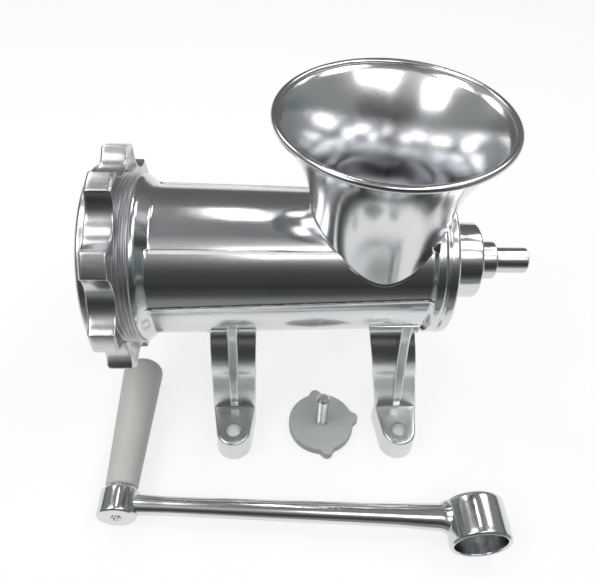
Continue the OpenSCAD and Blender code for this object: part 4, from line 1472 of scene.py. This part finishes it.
@dataclass
class Studio:
    """Pale floor, soft boxes, surroundings and the camera of the photograph, in metres."""

    floor_half: float = 6.0
    floor_colour: Triple = (0.3, 0.3, 0.3)
    floor_lift: float = 0.75
    camera_at_mm: Triple = (-26.74, -257.88, 336.45)
    yaw_deg: float = 3.312
    pitch_deg: float = 45.82
    roll_deg: float = 2.674
    focal_px: float = 597.86
    frame_w: int = 595
    sensor_w: float = 36.0
    clip_start: float = 0.01
    target: Triple = (0.0, 0.0, 0.12)
    boxes: Sequence[SoftBox] = (
        SoftBox("front_right_box", (0.27, -0.68, 1.05), (0.34, 0.72), 3.1),
        SoftBox("front_left_box", (-0.74, -0.46, 0.92), (0.38, 0.50), 3.4),
        SoftBox("top_box", (-0.075, 0.50, 1.22), (0.40, 0.05), 14.0),
        SoftBox("rear_right_box", (0.68, 0.50, 1.04), (0.40, 0.36), 4.0),
        SoftBox("rear_left_box", (-0.64, 0.66, 0.92), (0.36, 0.34), 4.0),
        SoftBox("top_right_box", (0.60, -0.06, 1.16), (0.50, 0.46), 3.0),
        SoftBox("top_left_box", (-0.60, 0.02, 1.16), (0.50, 0.46), 3.0),
    )
    sky_stops: Sequence[tuple[float, Triple]] = (
        (0.0, (0.05, 0.05, 0.05)), (0.12, (0.07, 0.07, 0.07)), (0.17, (0.12, 0.12, 0.12)),
        (0.22, (0.27, 0.27, 0.27)), (0.29, (0.56, 0.56, 0.56)), (0.33, (0.60, 0.60, 0.60)),
        (0.38, (0.40, 0.40, 0.40)), (0.43, (0.21, 0.21, 0.22)), (0.58, (0.23, 0.23, 0.23)),
        (0.74, (0.17, 0.17, 0.17)), (0.90, (0.15, 0.145, 0.14)), (1.0, (0.18, 0.15, 0.13)),
    )
    side_stops: Sequence[tuple[float, Triple]] = (
        (0.0, (0.075, 0.115, 0.11)), (0.15, (0.115, 0.155, 0.15)), (0.35, (0.26, 0.27, 0.27)),
        (1.0, (0.2, 0.2, 0.2)),
    )
    side_from: Pair = (0.45, 0.8)
    card_near: float = -0.15
    card_far: float = -2.4
    card_half: float = 1.6
    card_lift: float = 0.002
    card_slope: float = 0.05
    card_fade: float = 0.32
    card_tones: tuple[Triple, Triple] = ((0.09, 0.085, 0.09), (0.30, 0.34, 0.31))

    def sheet(self, name: str, points: Array, paint: str) -> tuple[Object, Graph]:
        """Adds a sheet of the studio with an empty material.

        Args:
            name: name of the sheet.
            points: grid of its points.
            paint: name of its material.

        Returns:
            The sheet and the graph of its material.
        """
        made, material = add_grids(name, [Patch(points)], 1.0), bpy.data.materials.new(paint)
        made.data.materials.append(material)
        return made, Graph(material)

    def floor(self) -> None:
        """Adds the floor, a flat grid that keeps shadows and glows to the camera and to reflections."""
        span = np.linspace(-self.floor_half, self.floor_half, 9)
        x, y = np.meshgrid(span, span, indexing="ij")
        floor, graph = self.sheet("pale_floor", np.stack([x, y, 0.0 * x], -1), "pale_paper")
        path = graph.node("ShaderNodeLightPath").outputs
        seen = graph.calc("MAXIMUM", path["Is Camera Ray"], path["Is Glossy Ray"])
        seen = graph.calc("MAXIMUM", seen, path["Is Transmission Ray"])
        paper = graph.node("ShaderNodeBsdfDiffuse", {"Color": (*self.floor_colour, 1.0)})
        glow = graph.node("ShaderNodeEmission", {"Strength": graph.calc("MULTIPLY", seen, self.floor_lift)})
        graph.output(graph.node("ShaderNodeAddShader", {0: paper.outputs[0], 1: glow.outputs[0]}))

    def card(self) -> None:
        """Adds a dark card that only reflections see, as is done to light polished metal.

        It is a grid that lies on the floor from card_near, below the camera, outwards, and rises by
        card_slope.
        """
        y, x = np.meshgrid(np.linspace(self.card_near, self.card_far, 24),
                           np.linspace(-self.card_half, self.card_half, 9), indexing="ij")
        z = self.card_lift + self.card_slope * (self.card_near - y)
        card, graph = self.sheet("dark_card", np.stack([x, y, z], -1), "dark_felt")
        card.visible_camera = card.visible_diffuse = card.visible_shadow = False
        along = graph.node("ShaderNodeSeparateXYZ", {0: graph.place()}).outputs["Y"]
        near = graph.node("ShaderNodeMapRange", {
            0: along, 1: self.card_near - self.card_fade, 2: self.card_near, 3: 0.0, 4: 1.0})
        tone = graph.blend(near.outputs[0], *self.card_tones)
        graph.output(graph.node("ShaderNodeBsdfDiffuse", {"Color": tone}))

    def surroundings(self) -> None:
        """Paints the surroundings: one ramp from front over the top to the back, one for the sides.

        The first ramp is read at atan2(z, -y) / pi, the second at z, and they mix by |x|.
        """
        world = bpy.data.worlds.new("studio")
        bpy.context.scene.world = world
        graph = Graph(world)
        where = graph.node("ShaderNodeTexCoord").outputs["Generated"]
        x, y, z = graph.node("ShaderNodeSeparateXYZ", {0: where}).outputs
        arc = graph.calc("ARCTAN2", z, graph.calc("MULTIPLY", y, -1.0))
        over = graph.ramp(graph.calc("DIVIDE", arc, math.pi), self.sky_stops)
        beside = graph.ramp(z, self.side_stops)
        span = {0: graph.calc("ABSOLUTE", x), 1: self.side_from[0], 2: self.side_from[1], 3: 0.0, 4: 1.0}
        aside = graph.node("ShaderNodeMapRange", span, interpolation_type="SMOOTHSTEP")
        both = graph.node("ShaderNodeMix", {0: aside.outputs[0], 6: over, 7: beside}, data_type="RGBA")
        sky = graph.node("ShaderNodeBackground", {"Color": both.outputs[2], "Strength": 1.0})
        graph.node("ShaderNodeOutputWorld", {0: sky.outputs[0]})

    def camera(self) -> None:
        """Adds the camera. Yaw turns it from +Y to +X, pitch tips it down, and roll turns the frame."""
        yaw, pitch, roll = (math.radians(a) for a in (self.yaw_deg, self.pitch_deg, self.roll_deg))
        forward = Vector((math.sin(yaw) * math.cos(pitch), math.cos(yaw) * math.cos(pitch), -math.sin(pitch)))
        level = Vector((math.cos(yaw), -math.sin(yaw), 0.0))
        above = level.cross(forward)
        right = level * math.cos(roll) + above * math.sin(roll)
        up = above * math.cos(roll) - level * math.sin(roll)
        data = bpy.data.cameras.new("photo_camera")
        data.sensor_width, data.sensor_fit = self.sensor_w, "HORIZONTAL"
        data.lens = self.focal_px / self.frame_w * data.sensor_width
        data.clip_start = self.clip_start
        camera = add_object("photo_camera", data)
        axes = Matrix((right, up, -forward)).transposed().to_4x4()
        camera.matrix_world = Matrix.Translation(Vector(self.camera_at_mm) * MM) @ axes
        bpy.context.scene.camera = camera

    def build(self) -> None:
        """Adds the camera, the floor, the card, the surroundings and the lamps."""
        self.camera()
        self.floor()
        self.card()
        self.surroundings()
        for box in self.boxes:
            box.build(Vector(self.target))
        bpy.context.scene.view_settings.view_transform = "Standard"


LEGS = (
    ("front_leg_near", "leg_front_near", -50.4, -1, 0.0),
    ("front_leg_far", "leg_front_far", -50.4, 1, 0.0),
    ("rear_leg_near", "leg_rear_near", 50.4, -1, 8.0),
    ("rear_leg_far", "leg_rear_far", 50.4, 1, 8.0),
)

KEPT_NODES = {
    "rear_bushing": BEARING_BRONZE,
    "thrust_washer": BEARING_BRONZE,
    "plate_key": GROUND_STEEL,
    "grinding_plate": GROUND_STEEL,
    "cross_knife": GROUND_STEEL,
    "front_stud": TURNED_STEEL,
    "shaft_lock_pin": TURNED_STEEL,
    "grip_washer": ZINC_PLATE,
}


def main() -> None:
    """Builds the studio and every piece."""
    logging.basicConfig(level=logging.INFO, format="%(name)s: %(message)s")
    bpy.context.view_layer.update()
    bench = Bench()
    Studio().build()
    barrel = Barrel(bench)
    barrel.build()
    Hopper(bench).build(barrel)
    for leg in LEGS:
        Leg(bench, *leg).build()
    for maker in (RingNut, FeedScrew, Crank, ThumbScrew):
        maker(bench).build()
    for node, finish in KEPT_NODES.items():
        bench.repaint(node, finish)


if __name__ == "__main__":
    main()
